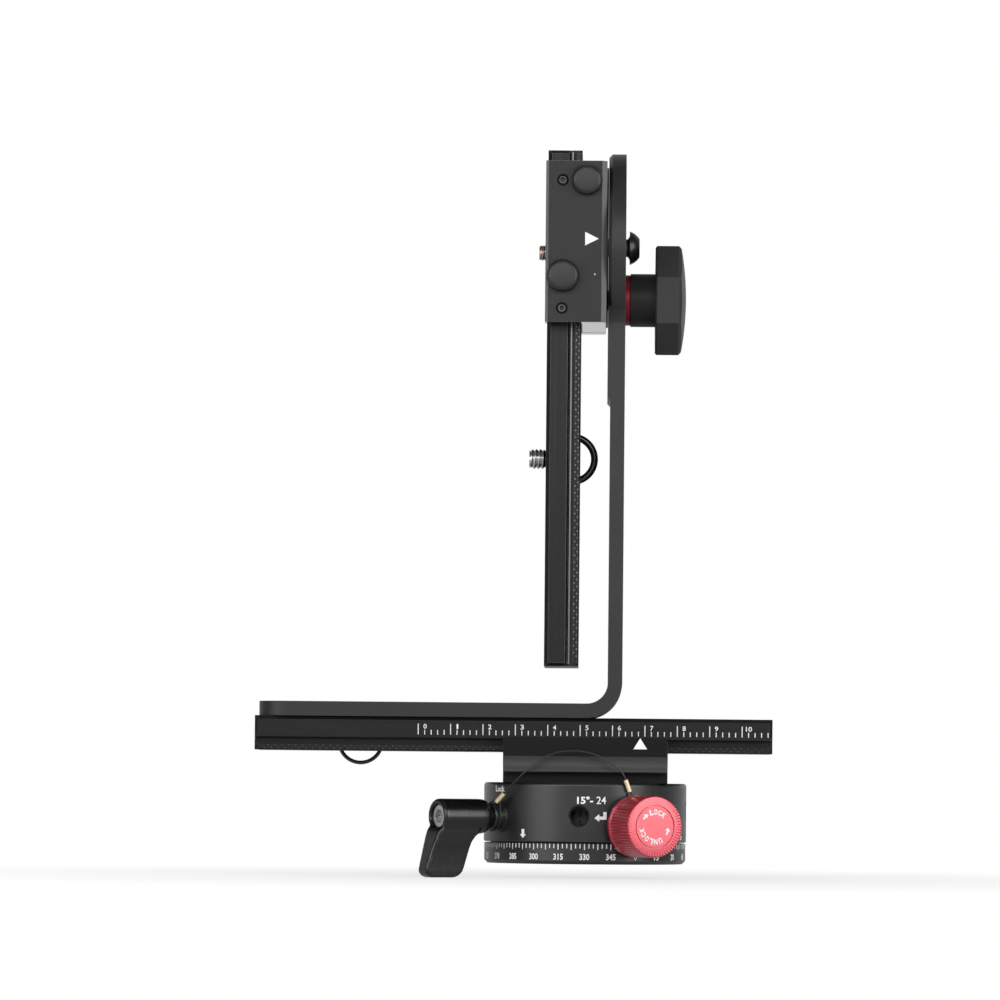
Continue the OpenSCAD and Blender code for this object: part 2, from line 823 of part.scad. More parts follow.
// Through slot for a screw with a wide counterbore from the lip side
module rail_slot(from, to, bore_w, bore_depth) {
    rotate([-90, 0, 0]) {
        translate([0, 0, -eps]) linear_extrude(rail_t + 1) slot(-to, -from, slot_w);
        translate([0, 0, -1]) linear_extrude(bore_depth + 1) slot(-to, -from, bore_w);
    }
}

module lower_rail() {
    color("#1c1c1e")
    lower_frame() difference() {
        rail_bar(-lower_rail_left, lower_rail_right);
        rail_slot(-lower_slot_from, -lower_slot_to, 2 * (bracket_ring_r + air),
            ring_pivot_in + ring_head_t / 2 + slide_gap);
    }
}

module vertical_rail() {
    color("#1c1c1e")
    upper_frame() difference() {
        rail_bar(upper_rail_z, upper_rail_top);
        rail_slot(upper_slot_from, upper_slot_to, 2 * (camera_ring_r + air),
            camera_pivot_in + ring_head_t / 2 + camera_washer_t + slide_gap);
    }
}

// Tooth outline that hooks a rail's groove on side s, up to height h, out to x
function hook(s, h, x, under) =
    let (g = slide_gap, in = rail_half + g, d = lip_h + g * (sqrt(2) - 1),
         tip = rail_half - groove_d + 0.5, top = lip_h + groove_d + groove_back)
    [[s * in, under], [s * in, d], [s * tip, d + in - tip],
     [s * tip, top - g - 0.4], [s * in, top - g], [s * in, h], [s * x, h]];

// Outside of a lower jaw: upright, then drawn in to a neck over the rotator
function jaw_skirt(s) =
    let (x = rail_half + jaw_t)
    [[s * x, -1.9], [s * (x - 3.6), -6], [s * (x - 3.6), -lower_base_t]];

module lower_clamp() {
    outer = rail_half + jaw_t;
    half = lower_clamp_len / 2;
    color("#141416")
    lower_frame() difference() {
        translate([0, 0, -half]) linear_extrude(lower_clamp_len)
            polygon(concat([[fixed_end, -slide_gap]], hook(-1, jaw_h, outer, -slide_gap),
                jaw_skirt(-1), [[fixed_end, -lower_base_t]]));
        clamp_bores(lower_screw_y, lower_screw_r, lower_pin_r, lower_spring_pocket_r,
            lower_clamp_len);
        rotate([-90, -90, 0]) translate([0, 0, -lower_base_t])
            for (y = base_screw_x, x = [-base_screw_z, base_screw_z])
                translate([x, y, -eps]) {
                    cylinder(r = base_screw_r, h = 2 * lower_base_t);
                    translate([0, 0, lower_base_t - slide_gap - base_screw_head_t - 0.3])
                        cylinder(r = base_screw_head_r, h = lower_base_t);
                }
    }
}

// Screw bore and spring pockets in a clamp's fixed body
module clamp_bores(y, screw_bore, pin_bore, pocket, length) {
    translate([fixed_end - clamp_screw_thread, y, 0]) across()
        cylinder(r = screw_bore + fit, h = clamp_screw_thread + 1);
    for (s = [-1, 1]) translate([0, y, s * pin_spread * length]) across() {
        translate([0, 0, fixed_end - spring_pocket_depth - 4])
            cylinder(r = pin_bore, h = spring_pocket_depth + 5);
        translate([0, 0, fixed_end - spring_pocket_depth])
            cylinder(r = pocket, h = spring_pocket_depth + 1);
    }
}

// The same places in a movable jaw, where everything slides
module jaw_bores(y, screw_bore, pin_bore, pocket, length) {
    translate([jaw_start - 1, y, 0]) across()
        cylinder(r = screw_bore + fit, h = 3 * jaw_t);
    for (s = [-1, 1]) translate([jaw_start - 1, y, s * pin_spread * length]) across() {
        cylinder(r = pin_bore + fit, h = jaw_t);
        cylinder(r = pocket, h = jaw_pocket_depth + 1);
    }
}

module clamp_guide_pins(y, r, length) {
    start = fixed_end - spring_pocket_depth - 4;
    for (s = [-1, 1]) translate([start, y, s * pin_spread * length]) across()
        pin(r, jaw_start + jaw_t - 2 - start, 0.3);
}

module clamp_springs(y, pin, pocket, length) {
    wire = (pocket - pin) * 0.3;
    start = fixed_end - spring_pocket_depth + fit;
    for (s = [-1, 1]) translate([start, y, s * pin_spread * length]) across()
        coil_spring((pocket + pin) / 2, wire, 5, jaw_start + jaw_pocket_depth - fit - start);
}

module clamp_base_screws() {
    head_top = lower_rail_z - slide_gap - 0.3;
    color("silver")
    for (y = base_screw_x, x = [-base_screw_z, base_screw_z]) translate([x, y, 0])
        difference() {
            union() {
                translate([0, 0, cavity_top + 0.4])
                    cylinder(r = base_screw_r, h = head_top - cavity_top - 1);
                translate([0, 0, head_top - base_screw_head_t])
                    pin(base_screw_head_r, base_screw_head_t, 0.4);
            }
            translate([0, 0, head_top - 2]) hex_socket(3, 3);
        }
}

module lower_guide_pins() {
    color("silver") lower_frame()
        clamp_guide_pins(lower_screw_y, lower_pin_r, lower_clamp_len);
}

module lower_jaw_springs() {
    color("silver") lower_frame()
        clamp_springs(lower_screw_y, lower_pin_r, lower_spring_pocket_r, lower_clamp_len);
}

module lower_jaw() {
    outer = rail_half + jaw_t;
    skirt = jaw_skirt(1);
    floor_y = slide_gap - lower_base_t;
    color("#141416")
    lower_frame() difference() {
        translate([0, 0, -lower_clamp_len / 2]) linear_extrude(lower_clamp_len)
            polygon(concat([[jaw_start, floor_y], [jaw_start, -slide_gap]],
                hook(1, jaw_h, outer, -slide_gap),
                [skirt[0], skirt[1], [skirt[2][0], floor_y]]));
        jaw_bores(lower_screw_y, lower_screw_r, lower_pin_r, lower_spring_pocket_r,
            lower_clamp_len);
    }
}

// Screw and knob turn together and carry the jaw; the neck clears the rotator
module lower_clamp_screw() {
    start = fixed_end - clamp_screw_thread + 1;
    color("silver")
    lower_frame() translate([start, lower_screw_y, 0]) across()
        cylinder(r = lower_screw_r, h = rail_half + jaw_t + neck_len + 8 - start);
}

module lower_clamp_knob() {
    r = lower_knob_d / 2;
    neck_r = 4.6;
    color("#19191b")
    lower_frame() translate([rail_half + jaw_t + slide_gap, lower_screw_y, 0]) across()
        difference() {
            union() {
                cylinder(r = neck_r, h = neck_len);
                translate([0, 0, neck_len - eps]) cylinder(r1 = neck_r, r2 = r, h = 1.5);
                translate([0, 0, neck_len + 1.4])
                    knurled(r - knurl_step, knurl_depth, 40, knob_len - 2.4);
                translate([0, 0, neck_len + knob_len - 1 - eps])
                    pin(r - knurl_depth - 2 * knurl_step, 1, 0.7);
            }
            translate([0, 0, -eps])
                cylinder(r = lower_screw_r, h = neck_len + 8 - slide_gap + eps);
        }
}

// ---- L bracket ----

module l_bracket() {
    color("#18181a")
    difference() {
        union() {
            horizontal_arm();
            bracket_bend();
            leg_plate();
            head_pad();
            bracket_head();
        }
        along_x(0, pivot_z) cylinder(r = pivot_r + fit + pivot_wall, h = 2 * leg_x);
        arc_slot();
        translate([-bracket_screw_left, 0, rail_top_z - 1])
            cylinder(r = screw_r, h = plate_t + 2);
    }
}

module horizontal_arm() {
    corner = 9;
    right = leg_x - bend_out;
    translate([0, 0, rail_top_z]) linear_extrude(plate_t) union() {
        translate([-arm_left + corner, -arm_w / 2]) square([arm_left - corner + right, arm_w]);
        translate([-arm_left, corner - arm_w / 2]) square([arm_left, arm_w - 2 * corner]);
        for (s = [-1, 1]) translate([corner - arm_left, s * (arm_w / 2 - corner)])
            circle(r = corner);
    }
}

module bracket_bend() {
    translate([leg_x - bend_out, arm_w / 2, rail_top_z + bend_out]) rotate([90, 0, 0])
        rotate_extrude(angle = -90)
        translate([bend_r, 0]) square([plate_t, arm_w]);
}

module leg_plate() {
    from_z = rail_top_z + bend_out;
    translate([leg_x - plate_t, -arm_w / 2, from_z]) cube([plate_t, arm_w, pivot_z - from_z]);
}

// Thicker plate behind the head, with a sloped lower end
module head_pad() {
    face = leg_x - plate_t + eps;
    translate([0, arm_w / 2, 0]) rotate([90, 0, 0]) linear_extrude(arm_w)
        polygon([[face, pad_z], [face, pivot_z], [upper_back_x, pivot_z],
            [upper_back_x, pad_z + pad_t]]);
}

// Round head, with hollow fillets where it meets the leg
module bracket_head() {
    chamfer = 1.1;
    fillet = 8;
    overcut = 0.05;
    half = arm_w / 2;
    rise = sqrt(pow(head_r + fillet, 2) - pow(half + fillet, 2));
    along_x(upper_back_x, pivot_z) {
        cylinder(r1 = head_r - chamfer, r2 = head_r, h = chamfer);
        translate([0, 0, chamfer]) cylinder(r = head_r, h = leg_x - upper_back_x - chamfer);
        linear_extrude(leg_x - upper_back_x) for (s = [-1, 1])
            difference() {
                polygon([[0, 0], [rise, 0], [rise, s * (half + fillet)]]);
                translate([rise, s * (half + fillet)]) circle(r = fillet + overcut);
            }
    }
}

// Half-turn slot that the tilt stud travels in
module arc_slot() {
    along_x(0, pivot_z) {
        rotate([0, 0, -90]) rotate_extrude(angle = 180)
            translate([arc_r - arc_w / 2, 0]) square([arc_w, 2 * leg_x]);
        for (s = [-1, 1]) translate([0, s * arc_r, 0]) cylinder(d = arc_w, h = 2 * leg_x);
    }
}

module pivot_bushing() {
    color("goldenrod")
    along_x(upper_back_x, pivot_z)
        tube(pivot_r + fit, pivot_r + fit + pivot_wall, leg_x - upper_back_x);
}

// ---- Screws with folding rings ----

// Head round the ring's axis, then a slim captive neck and the thread along +Z
module ring_screw(head_r, wire_d, neck, thread_len) {
    difference() {
        union() {
            translate([0, 0, -ring_head_t / 2]) cylinder(r = head_r, h = ring_head_t);
            translate([0, 0, ring_head_t / 2 - eps]) cylinder(r = screw_neck_r, h = neck + 2 * eps);
            translate([0, 0, ring_head_t / 2 + neck])
                cylinder(r = screw_r - fit, h = thread_len);
        }
        translate([0, -head_r - 1, 0]) rotate([-90, 0, 0])
            cylinder(d = wire_d + 2 * fit, h = 2 * head_r + 2);
        translate([-0.8, -head_r, -ring_head_t]) cube([1.6, 2 * head_r, ring_head_t / 2 + 0.6]);
    }
}

// Half ring on a pivot along Y, bulging towards -Z, its ends turned inwards
module folding_ring(ring_r, wire_d) {
    major = ring_r - wire_d / 2;
    stub = 1.6;
    rotate([0, 90, 0]) rotate([0, 0, -90]) rotate_extrude(angle = 180)
        translate([major, 0]) circle(d = wire_d, $fn = 32);
    for (s = [-1, 1]) translate([0, s * major, 0]) {
        sphere(d = wire_d, $fn = 32);
        rotate([s * 90, 0, 0]) cylinder(d = wire_d, h = wire_d / 2 + air + stub, $fn = 32);
    }
}

function ring_head_r(ring_r, wire_d) = ring_r - wire_d - air;

module at_bracket_screw() {
    translate([-bracket_screw_left, 0, lower_rail_z + ring_pivot_in])
        rotate([0, 0, 90]) children();
}

module at_camera_screw() {
    translate([-upper_rail_x - camera_pivot_in, 0, camera_screw_z])
        rotate([0, -90, 0]) rotate([0, 0, 90]) children();
}

module bracket_screw() {
    color("#c0c0c2")
    at_bracket_screw()
        ring_screw(ring_head_r(bracket_ring_r, bracket_wire_d), bracket_wire_d,
            rail_t - ring_pivot_in - ring_head_t / 2, plate_t - 0.2);
}

module bracket_ring() {
    color("#28282a") at_bracket_screw() folding_ring(bracket_ring_r, bracket_wire_d);
}

module camera_washer() {
    color("#2a2a2c")
    at_camera_screw() translate([0, 0, ring_head_t / 2 + fit / 2])
        tube(screw_neck_r + fit, camera_ring_r - air, camera_washer_t);
}

module camera_screw() {
    color("#c0c0c2")
    at_camera_screw()
        ring_screw(ring_head_r(camera_ring_r, camera_wire_d), camera_wire_d,
            rail_t - camera_pivot_in - ring_head_t / 2 + neck_proud,
            camera_screw_out - neck_proud);
}

module camera_ring() {
    color("#28282a") at_camera_screw() folding_ring(camera_ring_r, camera_wire_d);
}

// ---- Upper clamp ----

module upper_clamp() {
    outer = rail_half + upper_wall_t;
    top = rail_t + upper_wall_over;
    c = 0.8;
    color("#1e1e20")
    difference() {
        upper_frame() difference() {
            translate([0, 0, upper_clamp_z]) linear_extrude(upper_clamp_len)
                polygon(concat([[fixed_end, -slide_gap]],
                    [for (p = hook(-1, top, outer - c, -slide_gap)) p],
                    [[-outer, top - c], [-outer, 1.5 - upper_base_t],
                     [1.5 - outer, -upper_base_t], [fixed_end, -upper_base_t]]));
            translate([0, 0, pivot_z])
                clamp_bores(upper_screw_y, upper_screw_r, upper_pin_r,
                    upper_spring_pocket_r, upper_clamp_len);
        }
        along_x(block_x - block_thread, pivot_z) cylinder(r = pivot_r, h = 2 * block_thread);
        along_x(block_x - block_thread, tilt_knob_z) cylinder(r = stud_r, h = 2 * block_thread);
        button_bore(upper_button_pos, upper_button_d);
        button_bore(lower_button_pos, lower_button_d);
        for (p = wall_screw_pos) at_front(p) cylinder(r = wall_screw_r, h = 5);
        at_stop_screw() cylinder(r = stop_screw_r, h = stop_screw_in + 0.5);
    }
}

// Places on the front wall: +Z goes into the wall
module at_front(p) {
    translate([p[0], front_y, p[1]]) rotate([-90, 0, 0]) children();
}

module button_bore(p, d) {
    at_front(p) {
        translate([0, 0, -1]) cylinder(d = d + 2 * fit, h = button_pocket + 1);
        cylinder(r = button_stem_r + air, h = button_pocket + eps);
    }
}

// Cap with a rounded rim on a short stem
module round_button(p, d) {
    rim = 0.8;
    at_front(p) {
        translate([0, 0, -button_proud]) cylinder(r1 = d / 2 - rim, r2 = d / 2, h = rim);
        translate([0, 0, rim - button_proud]) cylinder(d = d, h = button_len - rim + button_proud
            - button_travel);
        cylinder(r = button_stem_r, h = button_len - 0.2);
    }
}

module upper_button() {
    color("#101012") round_button(upper_button_pos, upper_button_d);
}

module lower_button() {
    color("#101012") round_button(lower_button_pos, lower_button_d);
}

module button_springs() {
    start = button_len - button_travel + fit;
    color("silver")
    for (p = [upper_button_pos, lower_button_pos]) at_front(p) translate([0, 0, start])
        coil_spring(2.6, 0.25, 4, button_pocket - start - fit);
}

module wall_set_screws() {
    color("#2c2c2e")
    for (p = wall_screw_pos) at_front(p) difference() {
        translate([0, 0, 0.2]) cylinder(r = wall_screw_r, h = wall_screw_len);
        translate([0, 0, -1]) hex_socket(1.5, 2.6);
    }
}

// Threaded stop at the camera side of the front wall
module at_stop_screw() {
    translate([-upper_rail_x - rail_t - upper_wall_over + stop_screw_in, front_y + upper_wall_t / 2,
        stop_screw_z]) rotate([0, -90, 0]) children();
}

module rail_stop_screw() {
    color("#8a6d60")
    at_stop_screw() difference() {
        pin(stop_screw_r, stop_screw_in + stop_screw_out, 0.4);
        translate([0, 0, stop_screw_in + stop_screw_out - 1]) hex_socket(2.5, 2);
    }
}

module friction_washer() {
    color("#202020")
    along_x(block_x, pivot_z) difference() {
        tube(pivot_r + fit, friction_r, washer_t);
        translate([arc_r, 0, -1]) cylinder(r = stud_r + fit, h = 3);
    }
}

// Button head screw on which the clamp tilts
module pivot_screw() {
    start = block_x - block_thread;
    head_x = leg_x + pivot_head_gap;
    face_r = pivot_head_d / 2;
    sink = (pow(face_r, 2) - pow(pivot_head_flat / 2, 2) - pow(pivot_head_t, 2))
        / (2 * pivot_head_t);
    color("#202022")
    difference() {
        union() {
            along_x(start, pivot_z) cylinder(r = pivot_r, h = head_x - start + eps);
            along_x(head_x - pivot_head_gap / 2, pivot_z)
                cylinder(r1 = pivot_r, r2 = face_r - 1.5, h = pivot_head_gap / 2 + eps);
            intersection() {
                along_x(head_x, pivot_z) cylinder(r = face_r + 1, h = pivot_head_t);
                along_x(head_x - sink, pivot_z)
                    sphere(r = sqrt(pow(face_r, 2) + pow(sink, 2)));
            }
        }
        along_x(head_x + pivot_head_t - 2, pivot_z) hex_socket(3, 3);
    }
}

module tilt_stud() {
    start = block_x - block_thread;
    color("silver")
    along_x(start, tilt_knob_z) cylinder(r = stud_r, h = octagon_x + tilt_knob_t - 3 - start);
}

module tilt_washer() {
    color("#c8243c")
    along_x(washer_x, tilt_knob_z) difference() {
        pin(tilt_washer_d / 2, tilt_washer_t, 0.2);
        translate([0, 0, -1]) cylinder(r = stud_r + fit, h = 4);
    }
}

// Octagon with broken edges and a shallow dome on a round neck
module tilt_knob() {
    back_edge = 0.5;
    front_edge = 0.8;
    dome_r = (pow(tilt_knob_af / 2, 2) + pow(tilt_dome, 2)) / (2 * tilt_dome);
    flat_turn = 22.5 + 4;
    color("#19191b")
    difference() {
        union() {
            along_x(neck_x, tilt_knob_z)
                cylinder(d = tilt_neck_d, h = tilt_neck_len + eps);
            intersection() {
                along_x(octagon_x, tilt_knob_z) rotate([0, 0, flat_turn]) {
                    octagon_part(back_edge, 0, back_edge);
                    translate([0, 0, back_edge])
                        octagon_part(0, 0, tilt_knob_t - back_edge - front_edge);
                    translate([0, 0, tilt_knob_t - front_edge])
                        octagon_part(0, front_edge + tilt_dome, front_edge + tilt_dome);
                }
                along_x(octagon_x + tilt_knob_t + tilt_dome - dome_r, tilt_knob_z)
                    sphere(r = dome_r, $fn = 128);
            }
        }
        along_x(neck_x - 1, tilt_knob_z)
            cylinder(r = stud_r + insert_wall, h = tilt_neck_len + tilt_knob_t - 1.5);
    }
}

// Slice of the octagon, drawn in by an amount at each end
module octagon_part(in1, in2, h) {
    af = tilt_knob_af / 2;
    cylinder(r1 = (af - in1) / cos(22.5), r2 = (af - in2) / cos(22.5), h = h, $fn = 8);
}

module tilt_knob_insert() {
    color("goldenrod")
    along_x(neck_x + 0.5, tilt_knob_z)
        tube(stud_r + fit, stud_r + insert_wall, tilt_neck_len + tilt_knob_t - 3);
}

module upper_guide_pins() {
    color("silver") upper_frame() translate([0, 0, pivot_z])
        clamp_guide_pins(upper_screw_y, upper_pin_r, upper_clamp_len);
}

module upper_jaw_springs() {
    color("silver") upper_frame() translate([0, 0, pivot_z])
        clamp_springs(upper_screw_y, upper_pin_r, upper_spring_pocket_r, upper_clamp_len);
}

module upper_jaw() {
    outer = rail_half + jaw_t;
    c = 1.5;
    color("#1e1e20")
    upper_frame() translate([0, 0, pivot_z]) difference() {
        translate([0, 0, upper_clamp_z - pivot_z]) linear_extrude(upper_clamp_len)
            polygon(concat([[jaw_start, -upper_base_t], [jaw_start, -slide_gap]],
                hook(1, jaw_h, outer - c, -slide_gap),
                [[outer, jaw_h - c], [outer, c - upper_base_t], [outer - c, -upper_base_t]]));
        jaw_bores(upper_screw_y, upper_screw_r, upper_pin_r, upper_spring_pocket_r,
            upper_clamp_len);
    }
}

// Slim enough to pass the bracket's leg when the clamp tilts
module upper_thumb_screw() {
    start = fixed_end - clamp_screw_thread + 1;
    grip_start = rail_half + jaw_t + slide_gap;
    color("#19191b")
    upper_frame() translate([0, upper_screw_y, pivot_z]) across() {
        translate([0, 0, start]) cylinder(r = upper_screw_r, h = grip_start - start + 1);
        translate([0, 0, grip_start]) cylinder(d = thumb_screw_d - 1.4, h = 2);
        translate([0, 0, grip_start + 2 - eps])
            knurled(thumb_screw_d / 2, 0.3, 30, knob_len - 2);
    }
}

base_ring();
tripod_bushing();
index_drum();
drum_screws();
bearing_ring();
pan_axle();
axle_washer();
housing();
centre_bushing();
lever_bushing();
plunger_barrel();
plunger_spring();
index_pin();
plunger_knob();
brake_plug();
lever_spindle();
lock_lever();
lever_screw();
tether_cable();
tether_ferrules();
lower_clamp();
clamp_base_screws();
lower_guide_pins();
lower_jaw_springs();
lower_jaw();
lower_clamp_screw();
lower_clamp_knob();
lower_rail();
l_bracket();
pivot_bushing();
bracket_screw();
bracket_ring();
friction_washer();
upper_clamp();
pivot_screw();
tilt_stud();
wall_set_screws();
rail_stop_screw();
tilt_washer();
tilt_knob();
tilt_knob_insert();
upper_guide_pins();
upper_jaw_springs();
upper_jaw();
upper_thumb_screw();
upper_button();
lower_button();
button_springs();
vertical_rail();
camera_washer();
camera_screw();
camera_ring();
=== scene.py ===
"""Looks of a multi-row panoramic tripod head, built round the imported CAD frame.

Lengths below are millimetres; MM turns them into metres. Angles round the rotator
are degrees from -Y (the front) towards +X (the right).
"""
import math

import bmesh
import bpy
from mathutils import Matrix, Vector


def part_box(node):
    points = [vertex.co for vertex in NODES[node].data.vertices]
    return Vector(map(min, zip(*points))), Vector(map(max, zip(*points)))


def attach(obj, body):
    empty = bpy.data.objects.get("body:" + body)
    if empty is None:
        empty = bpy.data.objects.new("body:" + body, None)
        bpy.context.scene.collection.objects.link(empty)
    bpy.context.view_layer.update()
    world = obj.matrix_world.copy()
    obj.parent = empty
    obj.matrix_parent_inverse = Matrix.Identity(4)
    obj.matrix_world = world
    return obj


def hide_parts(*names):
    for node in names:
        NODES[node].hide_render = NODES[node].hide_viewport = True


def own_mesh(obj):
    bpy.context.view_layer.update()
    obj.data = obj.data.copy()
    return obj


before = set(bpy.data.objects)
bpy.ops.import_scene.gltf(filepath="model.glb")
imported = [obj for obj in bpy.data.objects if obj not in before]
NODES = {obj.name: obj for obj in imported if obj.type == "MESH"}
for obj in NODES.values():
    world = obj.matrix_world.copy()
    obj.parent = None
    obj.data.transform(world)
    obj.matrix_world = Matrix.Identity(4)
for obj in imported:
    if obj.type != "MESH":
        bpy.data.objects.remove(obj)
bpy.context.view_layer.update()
MM = 0.001

# ---- Sizes taken over from the CAD model ----
HOUSING_R = 31.5
RING_R = 31.3
RING_TOP = 6.4
PLUNGER_ANGLE, PLUNGER_Z, PLUNGER_FACE = 26.8, 11.8, 47.6
STATION_FIRST, STATION_STEP = -3.2, 30
LEVER_ANGLE, LEVER_Z = -57, 14.4
STATION_STEPS = [24, 36, 15, 12, 10, 8, 6, 4, 72, 18]
STATION_ROWS = [4, 1, 3, 6, 0, 7, 2, 8, 5, 9]
RAIL_FRONT_Y = -19.0
RAIL_LENGTH = 160
LOWER_RAIL_LEFT = -102.3
LOWER_RAIL_Z = 34.4
UPPER_RAIL_Z = (61, 221)
UPPER_RAIL_X = -2.5
LOWER_CLAMP_FRONT_Y = -26.0
UPPER_CLAMP_FRONT_Y = -26.7
INK = 0.02          # how far paint stands proud of its surface
FLAT_MARK = 0.09    # the same for a flat mark on the round housing
GROOVE_SIDE = 0.0165, 0.00235    # metres from the rail's middle to its groove, half width
RING_FRONT = 330    # degree mark of the base ring that faces the front
RULER_ZERO_X, RULER_TOP_Z = -51.7, 42.8
SET_SCREWS = (-8.5, 211.0), (-8.5, 171.3)       # X and Z in the clamp's front wall
BUTTONS = ("upper_button", -1.0, 211.0, 9.4), ("lower_button", -8.3, 181.3, 10.0)
BUTTON_STROKE, BUTTON_SPLIT_Z = 2.0, 0.196      # the springs part at this height, metres
ROOM_FRONT, ROOM_BACK, ROOM_ABOVE = 0.10, 0.9, 0.4   # brightness of the studio's walls
FLOOR_SIZE, FLOOR_Z = 1.2, -0.0045              # metres; the lever's foot hangs lowest


# ---- Camera ----

def make_camera():
    """Camera low in front, turned to the middle of the photograph: 3.2 px per mm there,
    and no lens shift, so that a view from another side stays centred."""
    place, target = Vector((5.0, -1900.0, 24.3)) * MM, Vector((-27.45, 0, 113.06)) * MM
    width_mm, roll = 312.5, math.radians(0.55)
    data = bpy.data.cameras.new("camera")
    data.sensor_width = 36.0
    data.lens = 36.0 * (target - place).length / (width_mm * MM)
    data.clip_start, data.clip_end = 0.05, 20.0
    cam = bpy.data.objects.new("camera", data)
    bpy.context.scene.collection.objects.link(cam)
    aim = (target - place).to_track_quat("-Z", "Y").to_matrix().to_4x4()
    cam.matrix_world = Matrix.Translation(place) @ aim @ Matrix.Rotation(roll, 4, "Z")
    bpy.context.scene.camera = cam


# ---- Materials ----

class Tree:
    """A material's node tree with short calls for the nodes used here."""

    def __init__(self, name):
        self.material = bpy.data.materials.new(name)
        self.material.use_nodes = True
        self.nodes = self.material.node_tree.nodes
        self.links = self.material.node_tree.links
        self.shader = self.nodes["Principled BSDF"]
        self.out = self.nodes["Material Output"]

    def add(self, kind, **settings):
        node = self.nodes.new("ShaderNode" + kind)
        for key, value in settings.items():
            if hasattr(node, key):
                setattr(node, key, value)
            else:
                node.inputs[key.replace("_", " ")].default_value = value
        return node

    def link(self, source, target):
        self.links.new(source, target)

    def place(self, scale):
        """Object coordinates stretched by a scale per metre along X, Y and Z."""
        coords = self.add("TexCoord")
        mapping = self.add("Mapping")
        mapping.inputs["Scale"].default_value = scale
        self.link(coords.outputs["Object"], mapping.inputs["Vector"])
        return mapping.outputs["Vector"]

    def round_place(self, per_metre):
        """Coordinates that change only with height and distance from the pan axis."""
        coords = self.add("TexCoord")
        flat = self.add("VectorMath", operation="MULTIPLY")
        flat.inputs[1].default_value = (1, 1, 0)
        self.link(coords.outputs["Object"], flat.inputs[0])
        radius = self.add("VectorMath", operation="LENGTH")
        self.link(flat.outputs[0], radius.inputs[0])
        split = self.add("SeparateXYZ")
        self.link(coords.outputs["Object"], split.inputs[0])
        total = self.add("Math", operation="ADD")
        self.link(radius.outputs["Value"], total.inputs[0])
        self.link(split.outputs["Z"], total.inputs[1])
        scaled = self.add("Math", operation="MULTIPLY")
        scaled.inputs[1].default_value = per_metre
        self.link(total.outputs[0], scaled.inputs[0])
        joined = self.add("CombineXYZ")
        self.link(scaled.outputs[0], joined.inputs["X"])
        return joined.outputs[0]

    def noise(self, vector, detail):
        node = self.add("TexNoise", Scale=1.0, Detail=detail)
        self.link(vector, node.inputs["Vector"])
        return node.outputs["Fac"]

    def span(self, value, low, high, start=0.3, end=0.7):
        node = self.add("MapRange")
        node.inputs["From Min"].default_value = start
        node.inputs["From Max"].default_value = end
        node.inputs["To Min"].default_value = low
        node.inputs["To Max"].default_value = high
        self.link(value, node.inputs["Value"])
        return node.outputs[0]

    def blend(self, factor, low, high):
        node = self.add("Mix", data_type="RGBA")
        node.inputs["A"].default_value = (*low, 1)
        node.inputs["B"].default_value = (*high, 1)
        self.link(factor, node.inputs["Factor"])
        return node

    def facing(self):
        """The object's own normal, split into X, Y and Z."""
        split = self.add("SeparateXYZ")
        self.link(self.add("TexCoord").outputs["Normal"], split.inputs[0])
        return split.outputs

    def size_of(self, value):
        node = self.add("Math", operation="ABSOLUTE")
        self.link(value, node.inputs[0])
        return node.outputs[0]

    def end_mask(self):
        """1 on faces that look along Z."""
        return self.span(self.size_of(self.facing()["Z"]), 0, 1, 0.9, 0.97)

    def chamfer_mask(self):
        """1 on upright faces at 45 degrees between X and Y, which get a painted highlight colour.
        """
        axes = self.facing()
        product = self.add("Math", operation="MULTIPLY")
        self.link(axes["X"], product.inputs[0])
        self.link(axes["Y"], product.inputs[1])
        return self.span(self.size_of(product.outputs[0]), 0, 1, 0.25, 0.4)

    def near(self, value, middle, reach):
        node = self.add("Math", operation="COMPARE")
        self.link(value, node.inputs[0])
        node.inputs[1].default_value, node.inputs[2].default_value = middle, reach
        return node.outputs[0]

    def groove_mask(self, axis, middle, reach):
        """1 in a rail's groove, at a place along one axis and set back from its side."""
        split = self.add("SeparateXYZ")
        self.link(self.add("TexCoord").outputs["Object"], split.inputs[0])
        both = self.add("Math", operation="MULTIPLY")
        self.link(self.near(split.outputs[axis], middle, reach), both.inputs[0])
        side = self.size_of(split.outputs["Y"])
        self.link(self.near(side, *GROOVE_SIDE), both.inputs[1])
        return both.outputs[0]

    def worn_edge(self, radius):
        """1 near an edge and 0 on open faces, with the rounded normal that finds it."""
        bevel = self.add("Bevel", samples=4)
        bevel.inputs["Radius"].default_value = radius * MM
        geometry = self.add("NewGeometry")
        dot = self.add("VectorMath", operation="DOT_PRODUCT")
        self.link(bevel.outputs[0], dot.inputs[0])
        self.link(geometry.outputs["Normal"], dot.inputs[1])
        return self.span(dot.outputs["Value"], 1, 0, 0.75, 0.98), bevel.outputs[0]


